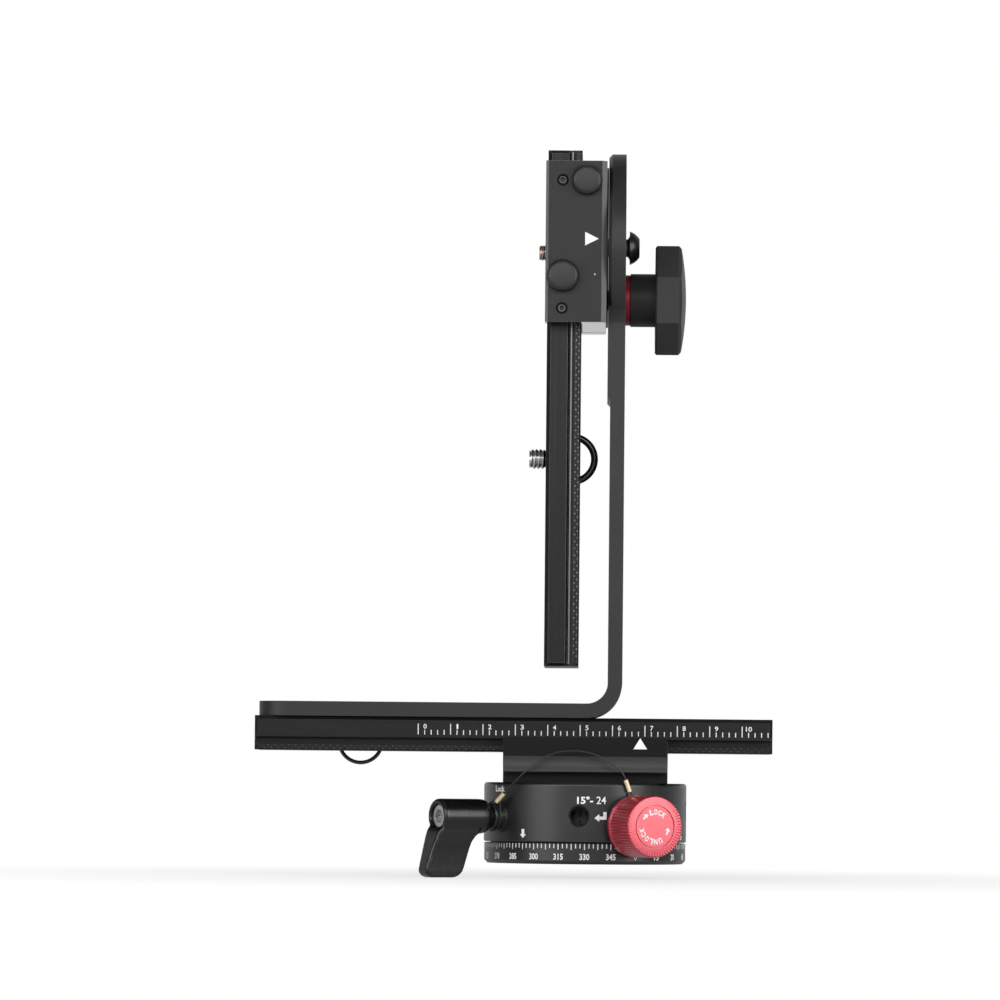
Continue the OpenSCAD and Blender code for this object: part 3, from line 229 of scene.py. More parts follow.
def finish(name, colour, rough, metallic=0.0, grain=(2500, 2500, 2500), bump=0.1,
           spread=0.15, edge=None, edge_r=0.25, turned=0, coat=0.0, specular=0.5,
           streak=0.0, ends=None, chamfer_highlight=None, groove=None):
    """Metal or plastic surface: fine grain, slow colour change, and edges lighter from wear and
    a painted highlight. Faces that look along Z take the roughness ends, upright chamfers a
    painted highlight colour, and a rail's groove (axis, middle, half width, tone) a lighter
    grey painted over its shade."""
    tree = Tree(name)
    shader = tree.shader
    shader.inputs["Metallic"].default_value = metallic
    shader.inputs["Coat Weight"].default_value = coat
    shader.inputs["Coat Roughness"].default_value = 0.15
    shader.inputs["Specular IOR Level"].default_value = specular
    fine_place = tree.round_place(turned) if turned else tree.place(grain)
    fine = tree.noise(fine_place, 3.0)
    slow = tree.noise(tree.place((40, 40, 40)), 3.0)
    low = tuple(c * (1 - spread) for c in colour)
    high = tuple(min(1.0, c * (1 + spread)) for c in colour)
    body = tree.blend(tree.span(slow, 0, 1), low, high)
    if streak:
        lines = tree.noise(tree.place(tuple(g * 0.35 for g in grain)), 4.0)
        lift = tree.add("Mix", data_type="RGBA", blend_type="MULTIPLY")
        lift.inputs["Factor"].default_value = 1.0
        tree.link(body.outputs["Result"], lift.inputs["A"])
        tone = tree.blend(tree.span(lines, 0, 1), (1 - streak,) * 3, (1 + streak,) * 3)
        tree.link(tone.outputs["Result"], lift.inputs["B"])
        body = lift
    # Lighter colour near edges: partly edge wear, partly a painted highlight.
    wear_and_highlight, normal = tree.worn_edge(edge_r)
    if edge:
        edge_tint = tree.add("Mix", data_type="RGBA")
        edge_tint.inputs["B"].default_value = (*edge, 1)
        tree.link(body.outputs["Result"], edge_tint.inputs["A"])
        tree.link(wear_and_highlight, edge_tint.inputs["Factor"])
        body = edge_tint
    masks = []
    # Chamfers get a painted highlight colour.
    if chamfer_highlight:
        masks.append((tree.chamfer_mask(), chamfer_highlight))
    # A rail's groove gets a lighter grey painted over its shade.
    if groove:
        masks.append((tree.groove_mask(*groove[:3]), (groove[3],) * 3))
    for mask, grey in masks:
        cut = tree.add("Mix", data_type="RGBA")
        cut.inputs["B"].default_value = (*grey, 1)
        tree.link(body.outputs["Result"], cut.inputs["A"])
        tree.link(mask, cut.inputs["Factor"])
        body = cut
    tree.link(body.outputs["Result"], shader.inputs["Base Color"])
    raised = tree.add("Bump", Strength=bump, Distance=0.00005)
    grainy = tree.span(fine, rough - 0.05, rough + 0.07)
    if ends is not None:
        flat = tree.end_mask()
        even = tree.add("Mix", B=ends)
        tree.link(grainy, even.inputs["A"])
        tree.link(flat, even.inputs["Factor"])
        grainy = even.outputs["Result"]
        tree.link(tree.span(flat, bump, 0, 0, 1), raised.inputs["Strength"])
    tree.link(grainy, shader.inputs["Roughness"])
    tree.link(fine, raised.inputs["Height"])
    tree.link(normal, raised.inputs["Normal"])
    tree.link(raised.outputs[0], shader.inputs["Normal"])
    return tree.material


ALONG_X, ALONG_Z = (30, 5000, 5000), (5000, 5000, 30)
# Edge colours, lighter than their faces: edge wear, and on the lightest a painted highlight too.
EDGE_GREY = (0.11, 0.11, 0.112)
EDGE_DARK = (0.06, 0.06, 0.062)
EDGE_WEAR_AND_HIGHLIGHT = (0.22, 0.22, 0.222)
LOOK = {
    # black_cast: the chamfer colour and the lightest edge colour are painted highlights, the edges
    # partly wear.
    "black_cast": finish("black_anodised_blasted", (0.012, 0.012, 0.0124), 0.46, bump=0.16,
                         edge=EDGE_WEAR_AND_HIGHLIGHT, edge_r=0.4, specular=0.33, ends=0.12,
                         chamfer_highlight=(0.14, 0.14, 0.14)),
    "black_plate": finish("black_anodised_plate", (0.017, 0.017, 0.0175), 0.44, bump=0.14,
                          edge=EDGE_GREY, specular=0.35),
    "black_low": finish("black_anodised_lower", (0.005, 0.005, 0.0053), 0.32, bump=0.1,
                        edge=EDGE_DARK, specular=0.16),
    "black_cove": finish("black_anodised_cove", (0.006, 0.006, 0.0063), 0.34,
                         grain=ALONG_X, bump=0.1, edge=EDGE_DARK, specular=0.38),
    "black_turned": finish("black_anodised_turned", (0.012, 0.012, 0.013), 0.34,
                           turned=7000, bump=0.1, edge=EDGE_GREY),
    # rail_x and rail_z: the groove tone is a lighter grey painted over the groove's shade.
    "rail_x": finish("rail_anodised_along_x", (0.006, 0.006, 0.0063), 0.32, grain=ALONG_X,
                     bump=0.1, edge=EDGE_DARK, streak=0.3, specular=0.28,
                     groove=("Z", 0.0376, 0.0018, 0.022)),
    "rail_z": finish("rail_anodised_along_z", (0.008, 0.008, 0.0083), 0.34, grain=ALONG_Z,
                     bump=0.12, edge=EDGE_WEAR_AND_HIGHLIGHT, edge_r=0.3, streak=0.4, specular=0.26,
                     groove=("X", -0.0044, 0.0012, 0.045)),
    "knob": finish("knob_anodised", (0.024, 0.024, 0.0245), 0.5, bump=0.14, edge=EDGE_GREY,
                   edge_r=0.2, specular=0.3),
    "lever": finish("lever_coated", (0.003, 0.003, 0.0032), 0.24, grain=(3500, 3500, 3500),
                    bump=0.08, edge_r=0.35, specular=0.5),
    "button": finish("button_black", (0.014, 0.014, 0.0145), 0.40, bump=0.06, edge_r=0.3,
                     specular=0.4),
    "red": finish("red_anodised", (0.48, 0.022, 0.045), 0.34, metallic=0.55, bump=0.06,
                  edge=(0.80, 0.22, 0.25), edge_r=0.12, coat=1.0),
    "red_dark": finish("red_washer", (0.32, 0.012, 0.03), 0.4, metallic=0.5, bump=0.05),
    "steel": finish("turned_steel", (0.58, 0.58, 0.59), 0.28, metallic=1.0, bump=0.08),
    "dark_steel": finish("black_oxide_steel", (0.03, 0.03, 0.032), 0.3, metallic=0.6,
                         bump=0.06, edge=(0.12, 0.12, 0.12)),
    "set_screw": finish("set_screw_steel", (0.02, 0.02, 0.021), 0.3, metallic=0.6, bump=0.06,
                        edge=(0.45, 0.45, 0.45), edge_r=0.16),
    "ring": finish("ring_black_steel", (0.02, 0.02, 0.021), 0.2, metallic=0.5, bump=0.03,
                   coat=0.6),
    "brass": finish("turned_brass", (0.72, 0.50, 0.22), 0.3, metallic=1.0, bump=0.08),
    "ferrule": finish("ferrule_gold", (0.80, 0.66, 0.44), 0.34, metallic=0.6, bump=0.1,
                      edge=(0.95, 0.88, 0.74)),
    "drum": finish("drum_anodised", (0.02, 0.02, 0.021), 0.35, metallic=0.3, turned=5000),
    "slip_dark": finish("slip_plastic_dark", (0.012, 0.012, 0.013), 0.5, bump=0.04),
    "wire": finish("tether_wire", (0.05, 0.05, 0.052), 0.35, metallic=0.7, bump=0.2),
    "stud": finish("stud_warm_steel", (0.40, 0.29, 0.27), 0.3, metallic=0.9, bump=0.06),
    # This near-black is painted shade round the set screws.
    "painted_shade": finish("screw_painted_shade", (0.002, 0.002, 0.002), 0.6, bump=0.04, specular=0.1),
    "lip": finish("socket_lip_steel", (0.12, 0.12, 0.122), 0.35, metallic=0.5, bump=0.05),
    "tooth_dark": finish("rail_tooth_dark", (0.05, 0.05, 0.052), 0.36, metallic=0.6,
                         bump=0.05),
    # The stud metal is also laid along the vertical rail's groove edge as a painted highlight.
    "tooth": finish("rail_tooth_wear_and_highlight", (0.16, 0.16, 0.165), 0.34, metallic=0.8, bump=0.05,
                    edge=(0.4, 0.4, 0.4), edge_r=0.1),
    "ink": finish("white_paint", (0.86, 0.86, 0.85), 0.55, bump=0.1, spread=0.04),
}
NODE_LOOK = {
    "base_ring": "black_turned", "housing": "black_turned", "tripod_bushing": "steel",
    "index_drum": "drum", "drum_screws": "steel", "bearing_ring": "slip_dark",
    "pan_axle": "steel", "axle_washer": "brass", "centre_bushing": "brass",
    "lever_bushing": "dark_steel", "plunger_barrel": "dark_steel",
    "plunger_spring": "steel", "index_pin": "steel", "plunger_knob": "red",
    "brake_plug": "brass", "lever_spindle": "dark_steel", "lock_lever": "lever",
    "lever_screw": "steel", "tether_cable": "wire", "tether_ferrules": "ferrule",
    "lower_clamp": "black_low", "clamp_base_screws": "dark_steel",
    "lower_guide_pins": "steel", "lower_jaw_springs": "steel", "lower_jaw": "black_low",
    "lower_clamp_screw": "steel", "lower_clamp_knob": "knob", "lower_rail": "rail_x",
    "l_bracket": "black_plate", "pivot_bushing": "brass", "bracket_screw": "dark_steel",
    "bracket_ring": "ring", "friction_washer": "slip_dark", "upper_clamp": "black_cast",
    "pivot_screw": "dark_steel", "tilt_stud": "steel", "wall_set_screws": "set_screw",
    "rail_stop_screw": "stud", "tilt_washer": "red_dark", "tilt_knob": "knob",
    "tilt_knob_insert": "brass", "upper_guide_pins": "steel",
    "upper_jaw_springs": "steel", "upper_jaw": "black_cast", "upper_thumb_screw": "knob",
    "upper_button": "button", "lower_button": "button", "button_springs": "steel",
    "vertical_rail": "rail_z", "camera_washer": "dark_steel", "camera_screw": "steel",
    "camera_ring": "ring",
}


def dress_nodes():
    for node, look in NODE_LOOK.items():
        slots = NODES[node].data.materials
        slots.clear()
        slots.append(LOOK[look])


# ---- Marks ----

def solid(name, verts, faces, body, look):
    """Mesh piece from millimetre points, riding on a body."""
    mesh = bpy.data.meshes.new(name)
    mesh.from_pydata([tuple(c * MM for c in v) for v in verts], [], faces)
    mesh.validate()
    mesh.update()
    obj = bpy.data.objects.new(name, mesh)
    bpy.context.scene.collection.objects.link(obj)
    mesh.materials.append(LOOK[look])
    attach(obj, body)
    return obj


class Marks:
    """Thin painted marks gathered into one piece. place(u, v, w) gives a point of the
    surface for a position (u across, v up) and a height w above it."""

    def __init__(self, name, body, look="ink"):
        self.name, self.body, self.look = name, body, look
        self.verts, self.faces = [], []

    def prism(self, outline, place, low=-INK, high=INK):
        """Solid plate from an outline that runs counter-clockwise."""
        start, n = len(self.verts), len(outline)
        for w in (low, high):
            self.verts += [place(u, v, w) for u, v in outline]
        self.faces.append(tuple(start + i for i in reversed(range(n))))
        self.faces.append(tuple(start + n + i for i in range(n)))
        for i in range(n):
            j = (i + 1) % n
            self.faces.append((start + i, start + j, start + n + j, start + n + i))

    def bar(self, u, v0, v1, width, place):
        half = width / 2
        self.prism([(u - half, v0), (u + half, v0), (u + half, v1), (u - half, v1)], place)

    def text(self, words, height, width, u, v, place, weight=0.0, turn=None):
        """Lettering fitted to a height and width, centred on (u, v)."""
        verts, faces = letters(words, weight)
        us, vs = [p[0] for p in verts], [p[1] for p in verts]
        u_mid, v_mid = (min(us) + max(us)) / 2, (min(vs) + max(vs)) / 2
        ku = width / (max(us) - min(us))
        kv = height / (max(vs) - min(vs))
        start = len(self.verts)
        for x, y, z in verts:
            a, b = (x - u_mid) * ku, (y - v_mid) * kv
            if turn is not None:
                c, s = math.cos(turn), math.sin(turn)
                a, b = a * c + b * s, b * c - a * s
            self.verts.append(place(u + a, v + b, INK if z > 0 else -INK))
        self.faces += [tuple(start + i for i in f) for f in faces]

    def build(self):
        return solid(self.name, self.verts, self.faces, self.body, self.look)


def letters(words, weight):
    """Points and faces of flat extruded lettering in Blender's own font."""
    curve = bpy.data.curves.new("letters", "FONT")
    curve.body = words
    curve.extrude = 0.05
    curve.offset = weight
    curve.resolution_u = 3
    obj = bpy.data.objects.new("letters", curve)
    bpy.context.scene.collection.objects.link(obj)
    bpy.context.view_layer.update()
    mesh = bpy.data.meshes.new_from_object(obj.evaluated_get(
        bpy.context.evaluated_depsgraph_get()))
    verts = [tuple(v.co) for v in mesh.vertices]
    faces = [tuple(p.vertices) for p in mesh.polygons]
    bpy.data.objects.remove(obj)
    bpy.data.curves.remove(curve)
    bpy.data.meshes.remove(mesh)
    return verts, faces


def on_drum(radius, angle=0.0):
    """Round the rotator: u is the arc to the right of an angle, v the height."""
    def place(u, v, w):
        a = math.radians(angle) + u / radius
        r = radius + w
        return r * math.sin(a), -r * math.cos(a), v
    return place


def on_front(y):
    """On a face that looks along -Y: u is X and v is Z."""
    return lambda u, v, w: (u, y - w, v)


def on_station(angle, z, out):
    """On a flat face square to a station's direction."""
    a = math.radians(angle)
    def place(u, v, w):
        rho = out + w
        return (rho * math.sin(a) + u * math.cos(a), -rho * math.cos(a) + u * math.sin(a),
                z + v)
    return place


def ring_scale():
    """Degrees on the base ring: a tick every 2.5, longer every 7.5, numbers every 15."""
    marks = Marks("ring_scale", "base")
    place = on_drum(RING_R)
    for k in range(144):
        angle = math.radians(2.5 * k - RING_FRONT)
        foot = 4.45 if k % 3 == 0 else 4.9
        marks.bar(angle * RING_R, foot, RING_TOP - 0.1, 0.3, place)
    for label in range(0, 360, 15):
        words = str(label)
        width = {1: 1.0, 2: 2.1, 3: 3.1}[len(words)]
        marks.text(words, 1.95, width, math.radians(label - RING_FRONT) * RING_R, 2.3, place, 0.03)
    marks.build()


def arrow_down(marks, place, u, v, width, height):
    stem = width * 0.22
    marks.prism([(u, v), (u + width / 2, v + height * 0.42), (u + stem, v + height * 0.42),
                 (u + stem, v + height), (u - stem, v + height),
                 (u - stem, v + height * 0.42), (u - width / 2, v + height * 0.42)], place,
                high=FLAT_MARK)


def housing_marks():
    """Index arrow, step labels over the index holes, bent arrow and the word by the lever."""
    marks = Marks("housing_marks", "rotor")
    arrow_down(marks, on_drum(HOUSING_R, -37), 0, 7.9, 2.4, 2.8)
    marks.text("Lock", 1.9, 5.0, 0, 23.0, on_drum(HOUSING_R, -56.6), 0.025)
    for k, steps in enumerate(STATION_STEPS):
        z = 10.8 + STATION_ROWS[k]
        label_z = z - 5.2 if k > 1 and z > 13 else z + 4.9
        place = on_drum(HOUSING_R, STATION_FIRST + k * STATION_STEP)
        degrees = f"{360 // steps}°-"
        wide, narrow = 1.45 * len(degrees) - 0.8, 1.5 * len(str(steps))
        marks.text(degrees, 2.35, wide, wide / 2 - 0.65, label_z, place, 0.035)
        marks.text(str(steps), 2.3, narrow, wide + 0.3 + narrow / 2, label_z, place, 0.01)
    place = on_drum(HOUSING_R, 8.85)
    marks.prism([(-1.9, 1.15), (-0.4, -0.05), (-0.4, 0.65), (1.9, 0.65), (1.9, 3.05),
                 (0.85, 3.05), (0.85, 1.65), (-0.4, 1.65), (-0.4, 2.35)],
                lambda u, v, w: place(u, v + 13.1, w), high=FLAT_MARK)
    marks.build()


def plunger_marks():
    """LOCK over UNLOCK round the knob's face, with an arrow before each."""
    marks = Marks("plunger_marks", "plunger_knob")
    place = on_station(PLUNGER_ANGLE, PLUNGER_Z, PLUNGER_FACE)
    radius = 4.55
    for words, middle, pitch in (("LOCK", 12, 19), ("UNLOCK", 207, 20.5)):
        for i, letter in enumerate(words):
            turn = math.radians(middle + (i - (len(words) - 1) / 2) * pitch)
            marks.text(letter, 1.75, 1.25, radius * math.sin(turn), radius * math.cos(turn),
                       place, 0.05, turn)
    for middle, way in ((-50, 1), (111, -1)):
        curved_arrow(marks, place, radius, middle, way)
    marks.build()


def curved_arrow(marks, place, radius, middle, way):
    """Arc with a head, round the face; way 1 points clockwise."""
    half, w = 11, 0.3
    angles = [math.radians(middle + way * (half * (i / 3 - 1))) for i in range(5)]
    outer = [((radius + w) * math.sin(a), (radius + w) * math.cos(a)) for a in angles]
    inner = [((radius - w) * math.sin(a), (radius - w) * math.cos(a)) for a in angles]
    a, tip = angles[-1], math.radians(middle + way * (half + 7))
    wings = [((radius + k) * math.sin(a), (radius + k) * math.cos(a)) for k in (0.95, -0.95)]
    point = (radius * math.sin(tip), radius * math.cos(tip))
    outline = outer + [wings[0], point, wings[1]] + inner[::-1]
    if way > 0:
        outline = outline[::-1]
    marks.prism(outline, place)


def ruler():
    """Millimetre ruler on the lower rail: a tick every 2 mm and numbers every 10."""
    marks = Marks("rail_ruler", "lower_rail")
    place = on_front(RAIL_FRONT_Y)
    for k in range(55):
        x = RULER_ZERO_X + 2 * k
        top = RULER_TOP_Z if k % 5 == 0 else 40.9
        marks.bar(x, 39.45, top, 0.28, place)
    for n in range(11):
        width = 1.9 if n == 10 else (0.55 if n == 1 else 1.0)
        marks.text(str(n), 1.5, width, RULER_ZERO_X + 10 * n + 2.1, 42.0, place, 0.012)
    marks.build()


def clamp_marks():
    lower = Marks("lower_clamp_triangle", "rotor")
    lower.prism([(14.7, 35.45), (19.0, 35.45), (16.85, 38.9)], on_front(LOWER_CLAMP_FRONT_Y))
    lower.build()
    upper = Marks("upper_clamp_triangle", "upper_clamp")
    place = on_front(UPPER_CLAMP_FRONT_Y)
    upper.prism([(-1.48, 190.7), (2.75, 192.8), (-1.48, 194.9)], place)
    dot = [(1.62 + 0.22 * math.cos(t * math.pi / 6), 181.8 + 0.22 * math.sin(t * math.pi / 6))
           for t in range(12)]
    upper.prism(dot, place)
    upper.build()


# ---- Rail lips ----

def lip_studs(place, length):
    """Two staggered rows of small studs along both lips of a rail, 0.1 mm proud."""
    pitch, sides = 2.15, 8
    foot, tip = (0.34, -0.05), (0.24, 0.1)      # radius and height of a stud's two ends
    verts, faces = [], []
    for side in (-1, 1):
        for depth, shift in ((0.62, 0), (1.45, 0.5)):
            for i in range(int((length - 5) / pitch)):
                t = 2 + (i + shift + 0.5) * pitch
                start = len(verts)
                for radius, lift in (foot, tip):
                    for k in range(sides):
                        a = side * 2 * math.pi * k / sides
                        verts.append(place(side, t + radius * math.cos(a),
                                           depth + 0.8 * radius * math.sin(a), lift))
                for k in range(sides):
                    j = (k + 1) % sides
                    faces.append((start + j, start + k, start + sides + k, start + sides + j))
                faces.append(tuple(start + sides + k for k in reversed(range(sides))))
    return verts, faces


def rail_teeth():
    half = -RAIL_FRONT_Y

    def on_lower(side, t, depth, lift):
        return LOWER_RAIL_LEFT + t, side * (half + lift), LOWER_RAIL_Z + depth

    def on_upper(side, t, depth, lift):
        return UPPER_RAIL_X - depth, side * (half + lift), UPPER_RAIL_Z[0] + t

    for name, body, place, look in (
            ("lower_rail_teeth", "lower_rail", on_lower, "tooth_dark"),
            ("vertical_rail_teeth", "vertical_rail", on_upper, "tooth")):
        verts, faces = lip_studs(place, RAIL_LENGTH)
        solid(name, verts, faces, body, look)
    # Thin strip of the lighter stud metal along the vertical rail's groove edge: a painted
    # highlight.
    arris_highlight = Marks("vertical_rail_arris", "vertical_rail", "tooth")
    low, high = UPPER_RAIL_Z
    arris_highlight.prism([(-5.7, low + 0.6), (-5.25, low + 0.6), (-5.25, high - 0.6),
                 (-5.7, high - 0.6)], on_front(RAIL_FRONT_Y))
    arris_highlight.build()


# ---- Threads and rounded buttons ----

def revolved(rows, place, sides=64):
    """Points and faces of a closed body turned round an axis. rows are (radius, height)
    pairs, or functions of the angle for the radius; place(x, y, h) gives the point."""
    verts, faces = [], []
    for radius, height in rows:
        for k in range(sides):
            a = 2 * math.pi * k / sides
            r = radius(a) if callable(radius) else radius
            verts.append(place(r * math.cos(a), r * math.sin(a), height))
    for i in range(len(rows) - 1):
        for k in range(sides):
            j = (k + 1) % sides
            faces.append((sides * i + k, sides * i + j, sides * (i + 1) + j,
                          sides * (i + 1) + k))
    last = sides * (len(rows) - 1)
    faces.append(tuple(reversed(range(sides))))
    faces.append(tuple(last + k for k in range(sides)))
    return verts, faces


def thread_rows(r, depth, pitch, start, end):
    """Rows of a V thread between two heights."""
    def at(height):
        def radius(a):
            phase = (height / pitch - a / (2 * math.pi)) % 1
            fade = min(1, (end - height) / pitch, (height - start) / pitch * 2)
            return r - depth + depth * max(0, fade) * min(1, 1.25 * (1 - abs(2 * phase - 1)))
        return radius
    count = round((end - start) / pitch * 12)
    return [(at(start + (end - start) * i / count), start + (end - start) * i / count)
            for i in range(count + 1)]


def threaded(node, body, name, r, depth, pitch, start, end, look, centre):
    """Copy of a screw along -X, cut off at start, with a real thread from there to end,
    as two pieces that stand for the node together."""
    mesh = NODES[node].data.copy()
    work = bmesh.new()
    work.from_mesh(mesh)
    bmesh.ops.bisect_plane(work, geom=work.verts[:] + work.edges[:] + work.faces[:],
                           plane_co=(-(start - 0.02) * MM, 0, 0), plane_no=(-1, 0, 0),
                           clear_outer=True)
    loops = [e for e in work.edges if e.is_boundary]
    bmesh.ops.holes_fill(work, edges=loops)
    work.to_mesh(mesh)
    work.free()
    base = bpy.data.objects.new(name + "_body", mesh)
    bpy.context.scene.collection.objects.link(base)
    mesh.materials.clear()
    mesh.materials.append(LOOK[look])
    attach(base, body)
    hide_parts(node)
    y, z = centre
    verts, faces = revolved(thread_rows(r, depth, pitch, start, end),
                            lambda a, b, h: (-h, y + a, z + b))
    ridge = solid(name, verts, faces, body, look)
    smooth(ridge)
    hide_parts(node)


def screw_seats():
    """Painted shade: near-black rings round the two set screws in the clamp's front wall, and
    lighter steel rings at the socket lips.
    """
    for name, inner, outer, low, high, look in (
            # First ring: painted shade round each set screw.
            ("set_screw_painted_shade", 1.2, 1.85, -0.02, 0.02, "painted_shade"),
            ("set_screw_lips", 0.86, 1.1, -0.3, -0.12, "lip")):
        verts, faces = [], []
        for x, z in SET_SCREWS:
            start = len(verts)
            for k in range(32):
                a = 2 * math.pi * k / 32
                for r, w in ((inner, low), (inner, high), (outer, high), (outer, low)):
                    verts.append((x + r * math.cos(a), UPPER_CLAMP_FRONT_Y - w,
                                  z + r * math.sin(a)))
            for k in range(32):
                j = (k + 1) % 32
                for m in range(4):
                    n = (m + 1) % 4
                    faces.append((start + 4 * k + m, start + 4 * k + n, start + 4 * j + n,
                                  start + 4 * j + m))
        solid(name, verts, faces, "upper_clamp", look)


def clamp_apron():
    """Cove across the front of the lower clamp: it leans out towards its lip."""
    lo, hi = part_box("lower_clamp")
    left, right = lo[0] / MM, hi[0] / MM
    profile = [(-25.5, 33.2), (-26.0, 33.1), (-26.03, 32.4), (-26.1, 31.4), (-26.24, 30.4),
               (-26.44, 29.5), (-26.68, 28.7), (-26.72, 28.4), (-26.5, 28.1), (-22.0, 28.1),
               (-22.0, 28.4), (-25.5, 32.4)]
    inset = [0, 0, 0, 0, 0, 0.05, 0.2, 0.4, 0.7, 0.7, 0.7, 0]
    n = len(profile)
    verts = [(left + i, y, z) for (y, z), i in zip(profile, inset)]
    verts += [(right - i, y, z) for (y, z), i in zip(profile, inset)]
    faces = [(i, n + i, n + (i + 1) % n, (i + 1) % n) for i in range(n)]
    faces += [tuple(reversed(range(n))), tuple(range(n, 2 * n))]
    apron = solid("clamp_apron", verts, faces, "rotor", "black_cove")
    work = bmesh.new()
    work.from_mesh(apron.data)
    bmesh.ops.recalc_face_normals(work, faces=work.faces[:])
    work.to_mesh(apron.data)
    work.free()
    smooth(apron, 25)


def smooth(obj, angle=40):
    for polygon in obj.data.polygons:
        polygon.use_smooth = True
    obj.data.set_sharp_from_angle(angle=math.radians(angle))


def screws():
    threaded("camera_screw", "camera_screw", "camera_screw_thread", 3.12, 0.55, 1.27,
             13.37, 18.4, "steel", (0.0, 126.0))
    threaded("rail_stop_screw", "upper_clamp", "rail_stop_thread", 2.4, 0.35, 0.8,
             13.9, 15.6, "stud", (-22.85, 188.6))


def plunger_cap():
    """Knurled red knob whose flat face runs out to the knurls, with a thin ring groove."""
    teeth, root, face = 60, 9.12, 14.2

    def knurl(scale):
        def radius(a):
            tooth = abs(2 * ((a * teeth / (2 * math.pi)) % 1) - 1)
            return root + scale * 0.33 * min(1, 1.3 * tooth)
        return radius
    rows = [(3.8, 11.5), (3.8, 0), (8.5, 0), (9.5, 0.9), (9.5, 2.1), (9.35, 2.2), (root, 2.25),
            (knurl(1), 2.5), (knurl(1), face - 0.5), (knurl(0.3), face - 0.12),
            (root - 0.12, face), (6.65, face), (6.62, face - 0.35), (6.38, face - 0.35),
            (6.35, face), (1.5, face)]
    start = PLUNGER_FACE - face
    a = math.radians(PLUNGER_ANGLE)
    out, across = Vector((math.sin(a), -math.cos(a), 0)), Vector((math.cos(a), math.sin(a), 0))

    def place(u, v, h):
        point = out * (start + h) + across * u
        return point.x, point.y, PLUNGER_Z + v
    verts, faces = revolved(rows, place, teeth * 8)
    cap = solid("plunger_cap", verts, faces, "plunger_knob", "red")
    smooth(cap, 30)
    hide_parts("plunger_knob")


def cast_lever():
    """Lock lever as one casting: hub, fillets and a paddle with soft edges, made by joining
    the hub and the paddle in voxels and relaxing the result."""
    a = math.radians(LEVER_ANGLE)
    out, across = Vector((math.sin(a), -math.cos(a), 0)), Vector((math.cos(a), math.sin(a), 0))

    def place(u, v, rho):
        point = out * rho + across * u
        return point.x, point.y, LEVER_Z + v
    sides = 64
    # Hub: radius and distance from the pan axis
    profile = [(3.1, 36.3), (4.0, 36.3), (4.9, 37.0), (5.35, 38.4), (5.4, 40), (5.4, 53.5),
               (5.0, 54.2), (3.8, 54.2), (3.8, 51.3), (2.1, 51.3), (2.1, 47.7), (3.1, 47.7)]
    verts, faces = [], []
    for r, rho in profile:
        for k in range(sides):
            t = 2 * math.pi * k / sides
            verts.append(place(r * math.cos(t), r * math.sin(t), rho))
    for i in range(len(profile)):
        for k in range(sides):
            j, n = (k + 1) % sides, (i + 1) % len(profile)
            faces.append((sides * i + k, sides * i + j, sides * n + j, sides * n + k))
    # Paddle: height, near and far end along the station's direction, half its width
    rows = [(-3.3, 41.0, 54.8, 4.2), (-4.4, 40.5, 55.5, 4.1), (-5.2, 40.9, 55.8, 4.0),
            (-6.2, 42.2, 56.2, 3.85), (-8, 43.4, 56.8, 3.6), (-10, 44.0, 57.5, 3.25),
            (-12, 44.5, 58.1, 3.0), (-14, 45.0, 58.7, 2.8), (-15.8, 45.5, 59.2, 2.65),
            (-16.8, 45.9, 59.3, 2.6), (-17.7, 46.6, 59.0, 2.5), (-18.4, 47.6, 58.2, 2.45),
            (-18.8, 49.0, 57.0, 2.4)]
    start, corner, per = len(verts), 0.7, 5
    for v, low, high, half in rows:
        for cx, cy, turn in ((high - corner, half - corner, 0), (low + corner, half - corner, 1),
                             (low + corner, corner - half, 2), (high - corner, corner - half, 3)):
            for k in range(per):
                t = math.pi / 2 * (turn + k / (per - 1))
                verts.append(place(cy + corner * math.sin(t), v, cx + corner * math.cos(t)))
    count = 4 * per
    for i in range(len(rows) - 1):
        for k in range(count):
            j = (k + 1) % count
            faces.append((start + count * i + k, start + count * i + j,
                          start + count * (i + 1) + j, start + count * (i + 1) + k))
    faces.append(tuple(start + k for k in reversed(range(count))))
    faces.append(tuple(start + count * (len(rows) - 1) + k for k in range(count)))
    lever = solid("cast_lever", verts, faces, "lock_lever", "lever")
    work = bmesh.new()
    work.from_mesh(lever.data)
    bmesh.ops.recalc_face_normals(work, faces=work.faces[:])
    work.to_mesh(lever.data)
    work.free()
    cast = lever.modifiers.new("cast", "REMESH")
    cast.mode, cast.voxel_size, cast.use_smooth_shade = "VOXEL", 0.00035, True
    relax = lever.modifiers.new("relax", "SMOOTH")
    relax.factor, relax.iterations = 0.5, 4
    bpy.context.view_layer.update()
    mesh = bpy.data.meshes.new_from_object(lever.evaluated_get(
        bpy.context.evaluated_depsgraph_get()))
    lever.modifiers.clear()
    lever.data = mesh
    mesh.materials.clear()
    mesh.materials.append(LOOK["lever"])
    for polygon in mesh.polygons:
        polygon.use_smooth = True
    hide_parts("lock_lever")


def buttons():
    """Round buttons with a broad rounded rim and a slightly crowned face."""
    for node, x, z, d in BUTTONS:
        r, rim, front = d / 2, 1.6, 3.6
        rows = [(1.6, -3.5), (1.6, -1.7), (r - 0.1, -1.7), (r, -1.6), (r, front - rim)]
        rows += [(r - rim + rim * math.cos(t * math.pi / 16), front - rim
                  + (rim - 0.12) * math.sin(t * math.pi / 16)) for t in range(1, 9)]
        rows += [((r - rim) * (1 - t / 5), front - 0.12 * (1 - t / 5) ** 2)
                 for t in range(1, 5)]
        verts, faces = revolved(rows, lambda a, b, h: (x + a, UPPER_CLAMP_FRONT_Y - h, z + b), 96)
        cap = solid(node + "_cap", verts, faces, node, "button")
        smooth(cap)
        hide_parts(node)


